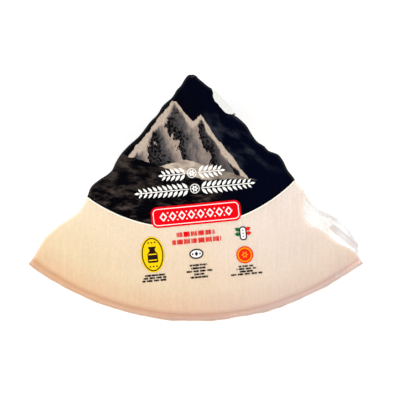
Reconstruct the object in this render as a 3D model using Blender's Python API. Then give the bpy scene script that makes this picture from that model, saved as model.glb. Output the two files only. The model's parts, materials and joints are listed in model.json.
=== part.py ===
"""A vacuum-packed wedge of hard grating cheese, about an eighth of a whole wheel.

The wheel was cut level at half its height, and each half was split from its centre to the rim.
The level cut face looks up, and the wheel's flat rind face rests on the table. The curved rind
looks along -Y, and the wedge's point along +Y. The clear bag lies tight on the cheese, so the
bag with its contents is one solid, and a web of spare film stands off its right side.
Lengths are in metres, angles in degrees, and +Z is up.
"""

import math

import bmesh
import bpy
from mathutils import Vector, noise

MM = 0.001

# The wheel that the wedge was cut from.
WHEEL_RADIUS = 0.215
CUT_HEIGHT = 0.105
BULGE = 0.007
SHOULDER_RADIUS = 0.015

# The wedge, seen from above, with the wheel's centre at (0, 0).
POINT = Vector((-0.0031, -0.0197))
POINT_HALF_ANGLE = 41.6
LEFT_ANGLE = 37.9
RIGHT_ANGLE = 38.3

# How far each split edge stands outside (+) or inside (-) the straight line from the wedge's
# point to the rim, in millimetres, at a distance from the point, in millimetres.
LEFT_EDGE = (
    (0, 0), (1, 1.2), (5, 1.5), (13, 0.4), (17, 0.7), (21, -0.2), (34, 0.7), (41, -0.4),
    (50, 0.2), (62, -0.6), (76, 0.9), (84, 1.0), (92, -0.2), (99, -1.9), (104, -1.0),
    (109, 0.5), (122, 1.4), (125, 0), (132, -1.8), (135, -2.6), (144, -2.6), (149, -1.1),
    (160, 1.9), (165, 2.8), (174, 3.5), (182, 2.3), (192, 0.3), (200, 0),
)  # fmt: skip
RIGHT_EDGE = (
    (0, 0), (1, 1.2), (7, 2.5), (17, 4.1), (22, 5.5), (26, 5.1), (30, 3.0), (35, 4.6),
    (41, 3.0), (51, 4.7), (60, 5.1), (67, 3.7), (75, 3.0), (81, 4.8), (85, 4.6), (93, 8.3),
    (101, 7.6), (107, 5.6), (115, 4.9), (123, 3.6), (131, 2.8), (135, -1.4), (139, -6.2),
    (148, -10.9), (161, -6.4), (176, -4.2), (188, 0.4), (193, 1.3), (200, 0),
)  # fmt: skip

# The cheese's edges and faces.
EDGE_DROP = 0.0016
RIM_EDGE_RADIUS = 0.0045
SPLIT_EDGE_RADIUS = 0.0030
RIM_BUMP = 0.0010
RIM_BUMP_LENGTH = 0.028
FACE_WAVE = 0.0006
FACE_WAVE_LENGTH = 0.060

# The split sides: chips on coarse lumps, whose ridges wander as they run down the side.
CHIP_LENGTH = 0.017
CHIP_HEIGHT = 0.014
CHIP_DEPTH = 0.0056
CHIPS_START = 0.016
LUMP_LENGTH = 0.036
LUMP_DEPTH = 0.0085
LUMP_SHARE = 0.25
LUMPS_START = 0.045
POINT_CHIPS_START = 0.020
WANDER = 0.022
WANDER_LENGTH = 0.055
SEED = 7.3

# The web of spare film on the right side: its outer edge, as on the split edges above.
WEB_EDGE = (
    (124, 2.0), (131, 3.9), (145, 4.2), (152, 5.8), (159, 8.6), (166, 10.8), (173, 11.9),
    (181, 11.2), (188, 9.8), (192, 8.0), (195, 5.4), (197.5, 2.2),
)  # fmt: skip
WEB_HEIGHT = 0.060
WEB_THICKNESS = 0.0010
WEB_ROOT = 0.014
WEB_WAVE = 0.0022
WEB_WAVE_LENGTH = 0.033
WEB_COLUMNS = 26
WEB_ROWS = 4

# How finely the surface is divided.
SIDE_STEPS = 42
SIDE_ROWS = range(1, SIDE_STEPS + 1)
RIM_STEPS = 54
WALL_LEVELS = 19
EVEN_LEVELS = 0.6
END_PULL = 6
SHARP_ANGLE = 28

FILM_COLOUR = (0.88, 0.74, 0.58, 1.0)
FILM_ROUGHNESS = 0.22


def clear_scene():
    """Empties the scene, so that the wedge stands alone."""
    for each in list(bpy.data.objects):
        bpy.data.objects.remove(each)


def read_along(pairs, distance):
    """The second number of a list of (distance, value) pairs, in metres, read between them."""
    millimetres = distance / MM
    for (start, first), (end, last) in zip(pairs, pairs[1:]):
        if millimetres <= end:
            share = max(0.0, (millimetres - start) / (end - start))
            return (first + (last - first) * share) * MM
    return pairs[-1][1] * MM


def smooth_step(share):
    """Runs from 0 to 1 with level ends."""
    held = min(1.0, max(0.0, share))
    return held * held * (3 - 2 * held)


def rim_point(angle, height=CUT_HEIGHT, inwards=0.0):
    """A point on the wheel's uneven rind, at an angle from -Y towards +X."""
    turn = math.radians(angle)
    place = Vector((WHEEL_RADIUS * turn, height, SEED)) / RIM_BUMP_LENGTH
    radius = WHEEL_RADIUS + RIM_BUMP * noise.noise(place) - inwards
    return Vector((radius * math.sin(turn), -radius * math.cos(turn)))


class SplitEdge:
    """The top edge of one split side, from the wedge's point to the rim."""

    def __init__(self, corner, pairs, hand):
        self.pairs = pairs
        self.hand = hand
        self.length = (corner - POINT).length
        self.along = (corner - POINT).normalized()
        self.outwards = Vector((-self.along.y, self.along.x)) * hand

    def point(self, distance, offset=None):
        """The edge's point at a distance, or one at its own offset from the straight line."""
        if offset is None:
            offset = read_along(self.pairs, distance)
        return POINT + self.along * distance + self.outwards * offset


LEFT = SplitEdge(rim_point(-LEFT_ANGLE), LEFT_EDGE, -1)
RIGHT = SplitEdge(rim_point(RIGHT_ANGLE), RIGHT_EDGE, 1)


def side_distance(edge, row):
    """How far along a split edge a row of the cut face ends."""
    if row == 0:
        return 0.0
    return edge.length * (row - 0.5) / (SIDE_STEPS - 0.5)


def rounding(depth, radius):
    """How far a rounded edge draws in, at a depth below the face that it rounds off to."""
    if depth >= radius:
        return 0.0
    return radius - math.sqrt(radius**2 - (radius - depth) ** 2)


def rind_inset(height):
    """How far the rind lies inside the rim of the cut face: a bulge and a round shoulder."""
    depth = CUT_HEIGHT - height
    bulge = BULGE * (depth / CUT_HEIGHT) ** 2
    return bulge + rounding(depth, RIM_EDGE_RADIUS) + rounding(height, SHOULDER_RADIUS)


def split_inset(distance, height):
    """How far a split side lies inside its top edge: chips on coarse lumps."""
    depth = CUT_HEIGHT - height
    near = noise.voronoi(Vector((distance / CHIP_LENGTH, height / CHIP_HEIGHT, SEED)))[0][0]
    lump = noise.noise(Vector((distance / LUMP_LENGTH, height / LUMP_LENGTH, -SEED)))
    chips = CHIP_DEPTH * near * smooth_step(depth / CHIPS_START)
    lumps = LUMP_DEPTH * max(0.0, LUMP_SHARE + lump) * smooth_step(depth / LUMPS_START)
    corners = rounding(depth, SPLIT_EDGE_RADIUS) + rounding(height, SPLIT_EDGE_RADIUS)
    return corners + chips + lumps


def split_point(edge, distance, height):
    """A point of a split side, which runs from the wedge's point to the rind at that height."""
    depth = CUT_HEIGHT - height
    share = distance / edge.length
    first_inset = split_inset(0.0, height)
    drawn_back = first_inset / math.tan(math.radians(POINT_HALF_ANGLE))
    reach = distance + drawn_back * (1 - share) ** END_PULL - rind_inset(height) * share**END_PULL
    shift = WANDER * noise.noise(Vector((depth / WANDER_LENGTH, edge.hand, SEED)))
    wandered = read_along(edge.pairs, reach + shift * smooth_step(depth / CHIPS_START))
    offset = min(read_along(edge.pairs, reach), wandered)
    own_inset = split_inset(edge.hand * distance, height)
    inset = first_inset + (own_inset - first_inset) * smooth_step(distance / POINT_CHIPS_START)
    flat = edge.point(reach, offset - inset)
    return Vector((flat.x, flat.y, height))


def ring_points(height):
    """The points round the wedge at one height, anticlockwise from the wedge's point."""
    left = [split_point(LEFT, side_distance(LEFT, row), height) for row in SIDE_ROWS]
    right = [split_point(RIGHT, side_distance(RIGHT, row), height) for row in SIDE_ROWS]
    start = math.degrees(math.atan2(left[-1].x, -left[-1].y))
    end = math.degrees(math.atan2(right[-1].x, -right[-1].y))
    rim = []
    for step in range(1, RIM_STEPS):
        angle = start + (end - start) * step / RIM_STEPS
        flat = rim_point(angle, height, rind_inset(height))
        rim.append(Vector((flat.x, flat.y, height)))
    drawn_back = split_inset(0.0, height) / math.sin(math.radians(POINT_HALF_ANGLE))
    tip = POINT - Vector((0, drawn_back))
    return [Vector((tip.x, tip.y, height)), *left, *rim, *reversed(right)]


def wall_heights():
    """The heights of the rings below the cut face's edge, closer together at both ends."""
    heights = []
    for level in range(1, WALL_LEVELS + 1):
        share = level / WALL_LEVELS
        eased = (1 - math.cos(math.pi * share)) / 2
        down = EVEN_LEVELS * share + (1 - EVEN_LEVELS) * eased
        heights.append((CUT_HEIGHT - EDGE_DROP) * (1 - down))
    return heights


def face_point(row, share):
    """A point inside the cut face: a row runs from split edge to split edge about the centre."""
    left = LEFT.point(side_distance(LEFT, row))
    right = RIGHT.point(side_distance(RIGHT, row))
    from_left = math.atan2(left.x, -left.y)
    from_right = math.atan2(right.x, -right.y)
    angle = from_left + (from_right - from_left) * share
    radius = left.length + (right.length - left.length) * share
    flat = Vector((radius * math.sin(angle), -radius * math.cos(angle)))
    wave = noise.noise(Vector((flat.x / FACE_WAVE_LENGTH, flat.y / FACE_WAVE_LENGTH, SEED)))
    return Vector((flat.x, flat.y, CUT_HEIGHT + FACE_WAVE * min(0.0, wave)))


def stitch(mesh, upper, lower):
    """Fills the strip between two rows of the cut face, which differ in their number of points."""
    above = 0
    below = 0
    while above < len(upper) - 1 or below < len(lower) - 1:
        next_above = (above + 1) / max(1, len(upper) - 1)
        next_below = (below + 1) / (len(lower) - 1)
        corner = upper[above]
        if above == len(upper) - 1 or (below < len(lower) - 1 and next_below <= next_above):
            mesh.faces.new((corner, lower[below], lower[below + 1]))
            below += 1
        else:
            mesh.faces.new((corner, lower[below], upper[above + 1]))
            above += 1


def build_cut_face(mesh, ring):
    """Fills the level cut face inside its edge, row by row from the wedge's point to the rim."""
    last = len(ring)
    rows = [[ring[0]]]
    for row in range(1, SIDE_STEPS):
        columns = max(1, round(RIM_STEPS * row / SIDE_STEPS))
        inner = [mesh.verts.new(face_point(row, c / columns)) for c in range(1, columns)]
        rows.append([ring[row], *inner, ring[last - row]])
    rows.append(ring[SIDE_STEPS : SIDE_STEPS + RIM_STEPS + 1])
    for upper, lower in zip(rows, rows[1:]):
        stitch(mesh, upper, lower)


def build_wall(mesh, ring):
    """Hangs the sides below the cut face's edge, and closes them with the flat rind face."""
    for height in wall_heights():
        below = [mesh.verts.new(point) for point in ring_points(height)]
        for here in range(len(ring)):
            there = (here + 1) % len(ring)
            mesh.faces.new((below[here], below[there], ring[there], ring[here]))
        ring = below
    mesh.faces.new(reversed(ring))


def finish_object(name, mesh, hidden=False):
    """Makes an object of a mesh, with its faces outwards and its round stretches smooth."""
    bmesh.ops.recalc_face_normals(mesh, faces=mesh.faces)
    data = bpy.data.meshes.new(name)
    mesh.to_mesh(data)
    mesh.free()
    data.shade_smooth()
    data.set_sharp_from_angle(angle=math.radians(SHARP_ANGLE))
    made = bpy.data.objects.new(name, data)
    made.hide_render = hidden
    made.display_type = "WIRE" if hidden else "TEXTURED"
    bpy.context.scene.collection.objects.link(made)
    return made


def build_wedge():
    """The bag drawn tight round its wedge of cheese."""
    mesh = bmesh.new()
    ring = [mesh.verts.new(point) for point in ring_points(CUT_HEIGHT - EDGE_DROP)]
    build_cut_face(mesh, ring)
    build_wall(mesh, ring)
    return finish_object("vacuum_pack", mesh)


def web_point(along, across, top):
    """A point on the film web, from inside the cheese (across 0) to the web's edge (1)."""
    start = WEB_EDGE[0][0] * MM
    end = WEB_EDGE[-1][0] * MM
    distance = start + (end - start) * along
    root = min(read_along(RIGHT_EDGE, distance), read_along(WEB_EDGE, distance)) - WEB_ROOT
    offset = root + (read_along(WEB_EDGE, distance) - root) * across
    flat = RIGHT.point(distance, offset)
    wave = WEB_WAVE * math.sin(2 * math.pi * (distance + offset) / WEB_WAVE_LENGTH)
    height = WEB_HEIGHT + wave + (WEB_THICKNESS / 2 if top else -WEB_THICKNESS / 2)
    return Vector((flat.x, flat.y, height))


def build_web():
    """The flat web where two layers of spare film lie together, which the bag is joined to."""
    mesh = bmesh.new()
    layers = []
    for top in (True, False):
        layer = []
        for column in range(WEB_COLUMNS + 1):
            along = column / WEB_COLUMNS
            row = [mesh.verts.new(web_point(along, r / WEB_ROWS, top)) for r in range(WEB_ROWS + 1)]
            layer.append(row)
        layers.append(layer)
    for layer in layers:
        for row, following in zip(layer, layer[1:]):
            for r in range(WEB_ROWS):
                mesh.faces.new((row[r], row[r + 1], following[r + 1], following[r]))
    rims = [edge_loop(layer) for layer in layers]
    for here in range(len(rims[0])):
        there = (here + 1) % len(rims[0])
        mesh.faces.new((rims[0][here], rims[0][there], rims[1][there], rims[1][here]))
    return finish_object("film_web", mesh, hidden=True)


def edge_loop(layer):
    """The corners round one layer of the web, in order."""
    first = layer[0]
    last = layer[-1]
    outer = [row[-1] for row in layer[1:-1]]
    inner = [row[0] for row in layer[1:-1]]
    return [*first, *outer, *reversed(last), *reversed(inner)]


def join_web(wedge, web):
    """Joins the web to the bag, so that both are one solid."""
    union = wedge.modifiers.new("film web", "BOOLEAN")
    union.operation = "UNION"
    union.solver = "EXACT"
    union.object = web


def stand_on_origin(*parts):
    """Moves the parts so that the origin is below the middle of the wedge's box."""
    corners = [vertex.co for vertex in parts[0].data.vertices]
    middle_x = (min(c.x for c in corners) + max(c.x for c in corners)) / 2
    middle_y = (min(c.y for c in corners) + max(c.y for c in corners)) / 2
    for each in parts:
        each.location = (-middle_x, -middle_y, 0)


def paint(made):
    """Gives the pack one plain colour: cheese seen through clear film."""
    material = bpy.data.materials.new("packed_cheese")
    material.use_nodes = True
    shader = material.node_tree.nodes["Principled BSDF"]
    shader.inputs["Base Color"].default_value = FILM_COLOUR
    shader.inputs["Roughness"].default_value = FILM_ROUGHNESS
    shader.inputs["Metallic"].default_value = 0.0
    made.data.materials.append(material)


def main():
    clear_scene()
    wedge = build_wedge()
    web = build_web()
    stand_on_origin(wedge, web)
    join_web(wedge, web)
    paint(wedge)


main()
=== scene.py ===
"""Looks of a vacuum-packed wedge of hard grating cheese, laid out as a Blender add-on.

The wedge lies on the wheel's flat rind face, with its level cut face up. The cheese, the clear
film round it, the web of spare film and the film's print are separate pieces, all worked out
from the wheel that the wedge was cut from. Lengths are in metres and +Z is up. Shapes are made
with the wheel's centre at (0, 0), and finish_piece moves them to where the frame holds the pack.
"""

import bisect
import json
import math

import bmesh
import bpy
import numpy as np
from mathutils import Matrix, Vector, noise

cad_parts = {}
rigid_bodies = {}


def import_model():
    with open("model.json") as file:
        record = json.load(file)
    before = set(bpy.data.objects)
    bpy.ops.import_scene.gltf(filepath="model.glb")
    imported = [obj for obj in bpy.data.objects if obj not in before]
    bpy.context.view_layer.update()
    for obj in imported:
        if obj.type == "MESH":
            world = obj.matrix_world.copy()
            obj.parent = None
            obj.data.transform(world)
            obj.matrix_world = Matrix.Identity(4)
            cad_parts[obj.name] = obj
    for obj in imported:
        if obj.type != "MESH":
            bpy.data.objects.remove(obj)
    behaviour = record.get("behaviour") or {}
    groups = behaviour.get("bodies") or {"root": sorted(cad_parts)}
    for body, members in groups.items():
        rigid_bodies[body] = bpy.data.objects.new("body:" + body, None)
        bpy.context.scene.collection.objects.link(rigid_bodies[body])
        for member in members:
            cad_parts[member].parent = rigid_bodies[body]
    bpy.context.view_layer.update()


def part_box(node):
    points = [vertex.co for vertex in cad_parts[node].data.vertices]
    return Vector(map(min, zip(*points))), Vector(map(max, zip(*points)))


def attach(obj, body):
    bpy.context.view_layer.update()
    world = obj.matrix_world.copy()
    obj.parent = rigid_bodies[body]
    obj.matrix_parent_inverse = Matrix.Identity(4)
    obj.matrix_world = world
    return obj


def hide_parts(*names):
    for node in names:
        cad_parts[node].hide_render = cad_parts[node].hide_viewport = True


bl_info = {
    "name": "Vacuum-packed cheese wedge",
    "version": (1, 0, 0),
    "blender": (4, 5, 0),
    "location": "View3D > Sidebar > Cheese pack",
    "description": "Builds a wedge of hard cheese, the clear film round it and the film's print",
    "category": "Add Mesh",
}

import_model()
NODE = "vacuum_pack"
BODY = "root"
LOW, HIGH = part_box(NODE)
MM = 0.001

# The wheel that the wedge was cut from.
WHEEL_RADIUS = 0.215
CUT_HEIGHT = HIGH.z
BULGE = 0.007
SHOULDER_RADIUS = 0.015

# The wedge, seen from above, with the wheel's centre at (0, 0).
POINT = Vector((-0.0031, -0.0197))
POINT_HALF_ANGLE = math.radians(41.6)
LEFT_ANGLE = math.radians(37.9)
RIGHT_ANGLE = math.radians(38.3)

# How far each split edge stands outside (+) or inside (-) the straight line from the wedge's
# point to the rim, in millimetres, at a distance from the point, in millimetres.
LEFT_EDGE = (
    (0, 0), (1, 1.2), (5, 1.5), (13, 0.4), (17, 0.7), (21, -0.2), (34, 0.7), (41, -0.4),
    (50, 0.2), (62, -0.6), (76, 0.9), (84, 1.0), (92, -0.2), (99, -1.9), (104, -1.0),
    (109, 0.5), (122, 1.4), (125, 0), (132, -1.8), (135, -2.6), (144, -2.6), (149, -1.1),
    (160, 1.9), (165, 2.8), (174, 3.5), (182, 2.3), (192, 0.3), (200, 0),
)  # fmt: skip
RIGHT_EDGE = (
    (0, 0), (1, 1.2), (7, 2.5), (17, 4.1), (22, 5.5), (26, 5.1), (30, 3.0), (35, 4.6),
    (41, 3.0), (51, 4.7), (60, 5.1), (67, 3.7), (75, 3.0), (81, 4.8), (85, 4.6), (93, 8.3),
    (101, 7.6), (107, 5.6), (115, 4.9), (123, 3.6), (131, 2.8), (135, -1.4), (139, -6.2),
    (148, -10.9), (161, -6.4), (176, -4.2), (188, 0.4), (193, 1.3), (200, 0),
)  # fmt: skip

# The wedge's rounded edges, the rim's bumps and nicks, and the cut face's slow waves, which
# begin a little way inside its edges.
RIM_EDGE_RADIUS = 0.0045
SPLIT_EDGE_RADIUS = 0.0030
RIM_BUMP = 0.0010
RIM_BUMP_LENGTH = 0.028
RIM_NICK = 0.0005
RIM_NICK_LENGTH = 0.006
FACE_WAVE = 0.0006
FACE_WAVE_LENGTH = 0.060
FACE_WAVE_START = 0.012

# The split sides: chips on coarse lumps, whose ridges wander as they run down the side. Each
# grows from nothing over its start below the cut face, and the chips also beside the point.
CHIP_LENGTH = 0.017
CHIP_HEIGHT = 0.014
CHIP_DEPTH = 0.0056
CHIPS_START = 0.016
LUMP_LENGTH = 0.036
LUMP_DEPTH = 0.0085
LUMP_SHARE = 0.25
LUMPS_START = 0.045
POINT_CHIPS_START = 0.020
WANDER = 0.022
WANDER_LENGTH = 0.055
SEED = 7.3
# The power with which a side's ends, and little else, draw in towards the point and the rind.
END_PULL = 6
# The bare cheese is rough from this deep, fully so after a run, but not beside the rind.
ROUGH_START = 0.002
ROUGH_RUN = 0.010
ROUGH_END = 0.012

# The web of spare film on the right side: its outer edge, on the axes of RIGHT_EDGE, its height
# above the table, how far inside the cheese it begins, and its slow wave.
WEB_EDGE = (
    (124, 2.0), (131, 3.9), (145, 4.2), (152, 5.8), (159, 8.6), (166, 10.8), (173, 11.9),
    (181, 11.2), (188, 9.8), (192, 8.0), (195, 5.4), (197.5, 2.2),
)  # fmt: skip
WEB_HEIGHT = 0.060
WEB_ROOT = 0.014
WEB_WAVE = 0.0022
WEB_WAVE_LENGTH = 0.033

# How finely the bag's surface is divided; the turns are in degrees round a rounded edge.
SIDE_STEPS = 84
RIM_STEPS = 118
WALL_STEP = 0.0024
RIM_EDGE_TURNS = range(0, 91, 12)
SHOULDER_TURNS = range(0, 73, 8)
# How far a point stands out from its neighbours on a full ridge.
RIDGE_HEIGHT = 0.0009

# The film's print lies on its own axes: u to the right and v up, from the middle of the plate.
PRINT_MIDDLE = Vector((0.00087, -0.13014))
PRINT_TURN = math.radians(5.5)
PRINT_RIGHT = Vector((math.cos(PRINT_TURN), math.sin(PRINT_TURN)))
PRINT_UP = Vector((-math.sin(PRINT_TURN), math.cos(PRINT_TURN)))


def ink(red, green, blue):
    """A colour given as a screen shows it, from 0 to 255, as linear light."""
    shares = (red / 255, green / 255, blue / 255)
    return tuple(s / 12.92 if s <= 0.04045 else ((s + 0.055) / 1.055) ** 2.4 for s in shares)


def smooth_step(share):
    """Runs from 0 to 1 with level ends."""
    held = min(1.0, max(0.0, share))
    return held * held * (3 - 2 * held)


def around(count):
    """Each number below a count with the next one, and the last with the first."""
    return [(here, (here + 1) % count) for here in range(count)]


# The wedge's surface -----------------------------------------------------------------------


class EdgeLine:
    """A smooth line through (distance, offset) pairs, which are in millimetres."""

    def __init__(self, pairs):
        self.distances = [distance * MM for distance, _ in pairs]
        self.offsets = [offset * MM for _, offset in pairs]
        self.slopes = np.gradient(self.offsets, self.distances)

    def at(self, distance):
        """The line's offset at a distance."""
        held = min(max(distance, self.distances[0]), self.distances[-1])
        after = min(max(bisect.bisect_right(self.distances, held), 1), len(self.distances) - 1)
        before = after - 1
        length = self.distances[after] - self.distances[before]
        share = (held - self.distances[before]) / length
        rest = 1 - share
        ends = smooth_step(rest) * self.offsets[before] + smooth_step(share) * self.offsets[after]
        bend = rest * self.slopes[before] - share * self.slopes[after]
        return ends + bend * share * rest * length


def rim_point(turn, height=CUT_HEIGHT, inwards=0.0):
    """A point on the wheel's uneven rind, at an angle from -Y towards +X."""
    place = Vector((WHEEL_RADIUS * turn, height, SEED))
    bump = RIM_BUMP * noise.noise(place / RIM_BUMP_LENGTH)
    nick = RIM_NICK * noise.noise(place / RIM_NICK_LENGTH)
    radius = WHEEL_RADIUS + bump + nick - inwards
    return Vector((radius * math.sin(turn), -radius * math.cos(turn)))


class SplitEdge:
    """The top edge of one split side, from the wedge's point to the rim."""

    def __init__(self, corner, pairs, hand):
        self.line = EdgeLine(pairs)
        self.hand = hand
        self.length = (corner - POINT).length
        self.along = (corner - POINT).normalized()
        self.outwards = Vector((-self.along.y, self.along.x)) * hand

    def point(self, distance, offset=None):
        """The edge's point at a distance, or one at its own offset from the straight line."""
        if offset is None:
            offset = self.line.at(distance)
        return POINT + self.along * distance + self.outwards * offset

    def measure(self, flat):
        """The distance and the offset of a place."""
        return (flat - POINT).dot(self.along), (flat - POINT).dot(self.outwards)

    def room(self, flat):
        """How far a place lies inside the edge."""
        distance, offset = self.measure(flat)
        return self.line.at(distance) - offset


LEFT = SplitEdge(rim_point(-LEFT_ANGLE), LEFT_EDGE, -1)
RIGHT = SplitEdge(rim_point(RIGHT_ANGLE), RIGHT_EDGE, 1)
WEB_LINE = EdgeLine(WEB_EDGE)


def side_spots(edge):
    """How far along a split edge each row of the cut face ends."""
    return [edge.length * (row - 0.5) / (SIDE_STEPS - 0.5) for row in range(1, SIDE_STEPS + 1)]


def along_sides(read):
    """What read gives where each row ends, along the left edge and along the right one."""
    return [[read(edge, spot) for spot in side_spots(edge)] for edge in (LEFT, RIGHT)]


def rounding(depth, radius):
    """How far a rounded edge draws in, at a depth below the face that it rounds off to."""
    if depth >= radius:
        return 0.0
    return radius - math.sqrt(radius**2 - (radius - depth) ** 2)


def rind_inset(height):
    """How far the rind lies inside the rim of the cut face: a bulge and a round shoulder."""
    depth = CUT_HEIGHT - height
    bulge = BULGE * (depth / CUT_HEIGHT) ** 2
    return bulge + rounding(depth, RIM_EDGE_RADIUS) + rounding(height, SHOULDER_RADIUS)


def split_inset(distance, height):
    """How far a split side lies inside its top edge: chips on coarse lumps."""
    depth = CUT_HEIGHT - height
    near = noise.voronoi(Vector((distance / CHIP_LENGTH, height / CHIP_HEIGHT, SEED)))[0][0]
    lump = noise.noise(Vector((distance / LUMP_LENGTH, height / LUMP_LENGTH, -SEED)))
    chips = CHIP_DEPTH * near * smooth_step(depth / CHIPS_START)
    lumps = LUMP_DEPTH * max(0.0, LUMP_SHARE + lump) * smooth_step(depth / LUMPS_START)
    corners = rounding(depth, SPLIT_EDGE_RADIUS) + rounding(height, SPLIT_EDGE_RADIUS)
    return corners + chips + lumps


def split_point(edge, distance, height):
    """A point of a split side, which runs from the wedge's point to the rind at that height."""
    depth = CUT_HEIGHT - height
    share = distance / edge.length
    first_inset = split_inset(0.0, height)
    drawn_back = first_inset / math.tan(POINT_HALF_ANGLE)
    reach = distance + drawn_back * (1 - share) ** END_PULL - rind_inset(height) * share**END_PULL
    shift = WANDER * noise.noise(Vector((depth / WANDER_LENGTH, edge.hand, SEED)))
    wandered = edge.line.at(reach + shift * smooth_step(depth / CHIPS_START))
    offset = min(edge.line.at(reach), wandered)
    own_inset = split_inset(edge.hand * distance, height)
    inset = first_inset + (own_inset - first_inset) * smooth_step(distance / POINT_CHIPS_START)
    return edge.point(reach, offset - inset)


def face_height(flat):
    """How high the cut face lies at a place: nearly level, with slow waves."""
    room = min(LEFT.room(flat), RIGHT.room(flat), WHEEL_RADIUS - flat.length)
    wave = noise.noise(Vector((flat.x / FACE_WAVE_LENGTH, flat.y / FACE_WAVE_LENGTH, SEED)))
    fade = smooth_step((room - RIM_EDGE_RADIUS) / FACE_WAVE_START)
    return CUT_HEIGHT - FACE_WAVE * (0.5 - 0.5 * wave) * fade


def run_down(depth, radius):
    """How far past its edge the film has run at a depth below the cut face."""
    if depth < radius:
        return radius * math.acos(1 - depth / radius) - radius
    return radius * math.pi / 2 - 2 * radius + depth


def wall_depths():
    """How deep the rings round the wedge lie: close together on the rounded edges."""
    upper = [RIM_EDGE_RADIUS * (1 - math.cos(math.radians(turn))) for turn in RIM_EDGE_TURNS]
    lower = [SHOULDER_RADIUS * (1 - math.cos(math.radians(turn))) for turn in SHOULDER_TURNS]
    first = upper[-1] + WALL_STEP
    last = CUT_HEIGHT - lower[-1] - WALL_STEP
    even = np.linspace(first, last, round((last - first) / WALL_STEP) + 1)
    return [*upper, *even, *(CUT_HEIGHT - height for height in reversed(lower))]


class Ring:
    """The places round the wedge at one depth, anticlockwise from its point."""

    def __init__(self, depth):
        height = CUT_HEIGHT - depth
        left, right = along_sides(lambda edge, spot: split_point(edge, spot, height))
        start = math.atan2(left[-1].x, -left[-1].y)
        end = math.atan2(right[-1].x, -right[-1].y)
        turns = [start + (end - start) * step / RIM_STEPS for step in range(1, RIM_STEPS)]
        rim = [rim_point(turn, height, rind_inset(height)) for turn in turns]
        tip = POINT - Vector((0, split_inset(0.0, height) / math.sin(POINT_HALF_ANGLE)))
        flats = [tip, *left, *rim, *reversed(right)]
        self.places = [(flat.x, flat.y, height) for flat in flats]
        self.unfolded = self.unfold(depth, rim)
        self.rough = self.roughen(depth, len(rim))

    def unfold(self, depth, rim):
        """Where the ring would lie if the film were laid flat round the cut face."""
        run = run_down(depth, SPLIT_EDGE_RADIUS)
        left, right = along_sides(lambda edge, spot: edge.point(spot, edge.line.at(spot) + run))
        rind = [flat * (1 + max(0.0, depth) / flat.length) for flat in rim]
        return [POINT + Vector((0, run)), *left, *rind, *reversed(right)]

    def roughen(self, depth, rim_count):
        """How rough the cheese is: level near the edges, and smooth on the rind."""
        down = smooth_step((depth - ROUGH_START) / ROUGH_RUN)

        def fade(edge, spot):
            return down * smooth_step((edge.length - spot) / ROUGH_END)

        left, right = along_sides(fade)
        return [down, *left, *[0.0] * rim_count, *reversed(right)]


def stitch(upper, lower):
    """The triangles of a strip between two rows, which may differ in their number of points."""
    faces = []
    above = 0
    below = 0
    while above < len(upper) - 1 or below < len(lower) - 1:
        next_above = (above + 1) / max(1, len(upper) - 1)
        next_below = (below + 1) / (len(lower) - 1)
        if above == len(upper) - 1 or (below < len(lower) - 1 and next_below <= next_above):
            faces.append((upper[above], lower[below], lower[below + 1]))
            below += 1
        else:
            faces.append((upper[above], lower[below], upper[above + 1]))
            above += 1
    return faces


class Skin:
    """The outside of the bag as triangles, and what each of its points knows."""

    def __init__(self):
        depths = wall_depths()
        rings = [Ring(depth) for depth in depths]
        self.count = len(rings[0].places)
        places = [place for ring in rings for place in ring.places]
        unfolded = [tuple(flat) for ring in rings for flat in ring.unfolded]
        rough = [share for ring in rings for share in ring.rough]
        faces = self.walls(len(rings))
        faces += self.face(0, places, unfolded, rough, wavy=True)
        bottom = self.face((len(rings) - 1) * self.count, places, unfolded, rough, wavy=False)
        faces += [tuple(reversed(face)) for face in bottom]
        self.places = np.array(places)
        self.unfolded = np.array(unfolded)
        self.rough = np.array(rough)
        self.faces = np.array(faces)
        self.normals = point_normals(self.places, self.faces)
        self.ridge = ridges(self.places, self.faces, self.normals)

    def walls(self, levels):
        """The triangles between the rings."""
        faces = []
        for level in range(levels - 1):
            upper = level * self.count
            lower = upper + self.count
            for here, there in around(self.count):
                faces.append((lower + here, lower + there, upper + there))
                faces.append((lower + here, upper + there, upper + here))
        return faces

    def face(self, first, places, unfolded, rough, wavy):
        """Fills a ring, row by row from the wedge's point to the rim."""
        rows = [[first]]
        for row in range(1, SIDE_STEPS):
            left = first + row
            right = first + self.count - row
            inner = []
            columns = round(RIM_STEPS * row / SIDE_STEPS) if wavy else 1
            for column in range(1, max(1, columns)):
                flat = between(places[left], places[right], column / columns)
                inner.append(len(places))
                places.append((flat.x, flat.y, face_height(flat)))
                unfolded.append(tuple(flat))
                rough.append(0.0)
            rows.append([left, *inner, right])
        last = first + SIDE_STEPS
        rows.append(list(range(last, last + RIM_STEPS + 1)))
        return [face for pair in zip(rows, rows[1:]) for face in stitch(*pair)]


def between(left, right, share):
    """A place between two others, on a curve about the wheel's centre."""
    from_left = math.atan2(left[0], -left[1])
    from_right = math.atan2(right[0], -right[1])
    turn = from_left + (from_right - from_left) * share
    near = math.hypot(left[0], left[1])
    radius = near + (math.hypot(right[0], right[1]) - near) * share
    return Vector((radius * math.sin(turn), -radius * math.cos(turn)))


# Meshes ------------------------------------------------------------------------------------


def unit(vectors):
    """The same directions, each one metre long."""
    return vectors / np.maximum(np.linalg.norm(vectors, axis=1, keepdims=True), 1e-12)


def point_normals(places, faces):
    """The way that each point of a triangle mesh faces."""
    a, b, c = (places[faces[:, corner]] for corner in range(3))
    tilt = np.cross(b - a, c - a)
    total = np.zeros_like(places)
    for corner in range(3):
        np.add.at(total, faces[:, corner], tilt)
    return unit(total)


def sides_of(faces):
    """The three sides of each triangle, as pairs of points in turning order."""
    return np.concatenate([faces[:, [0, 1]], faces[:, [1, 2]], faces[:, [2, 0]]])


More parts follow.
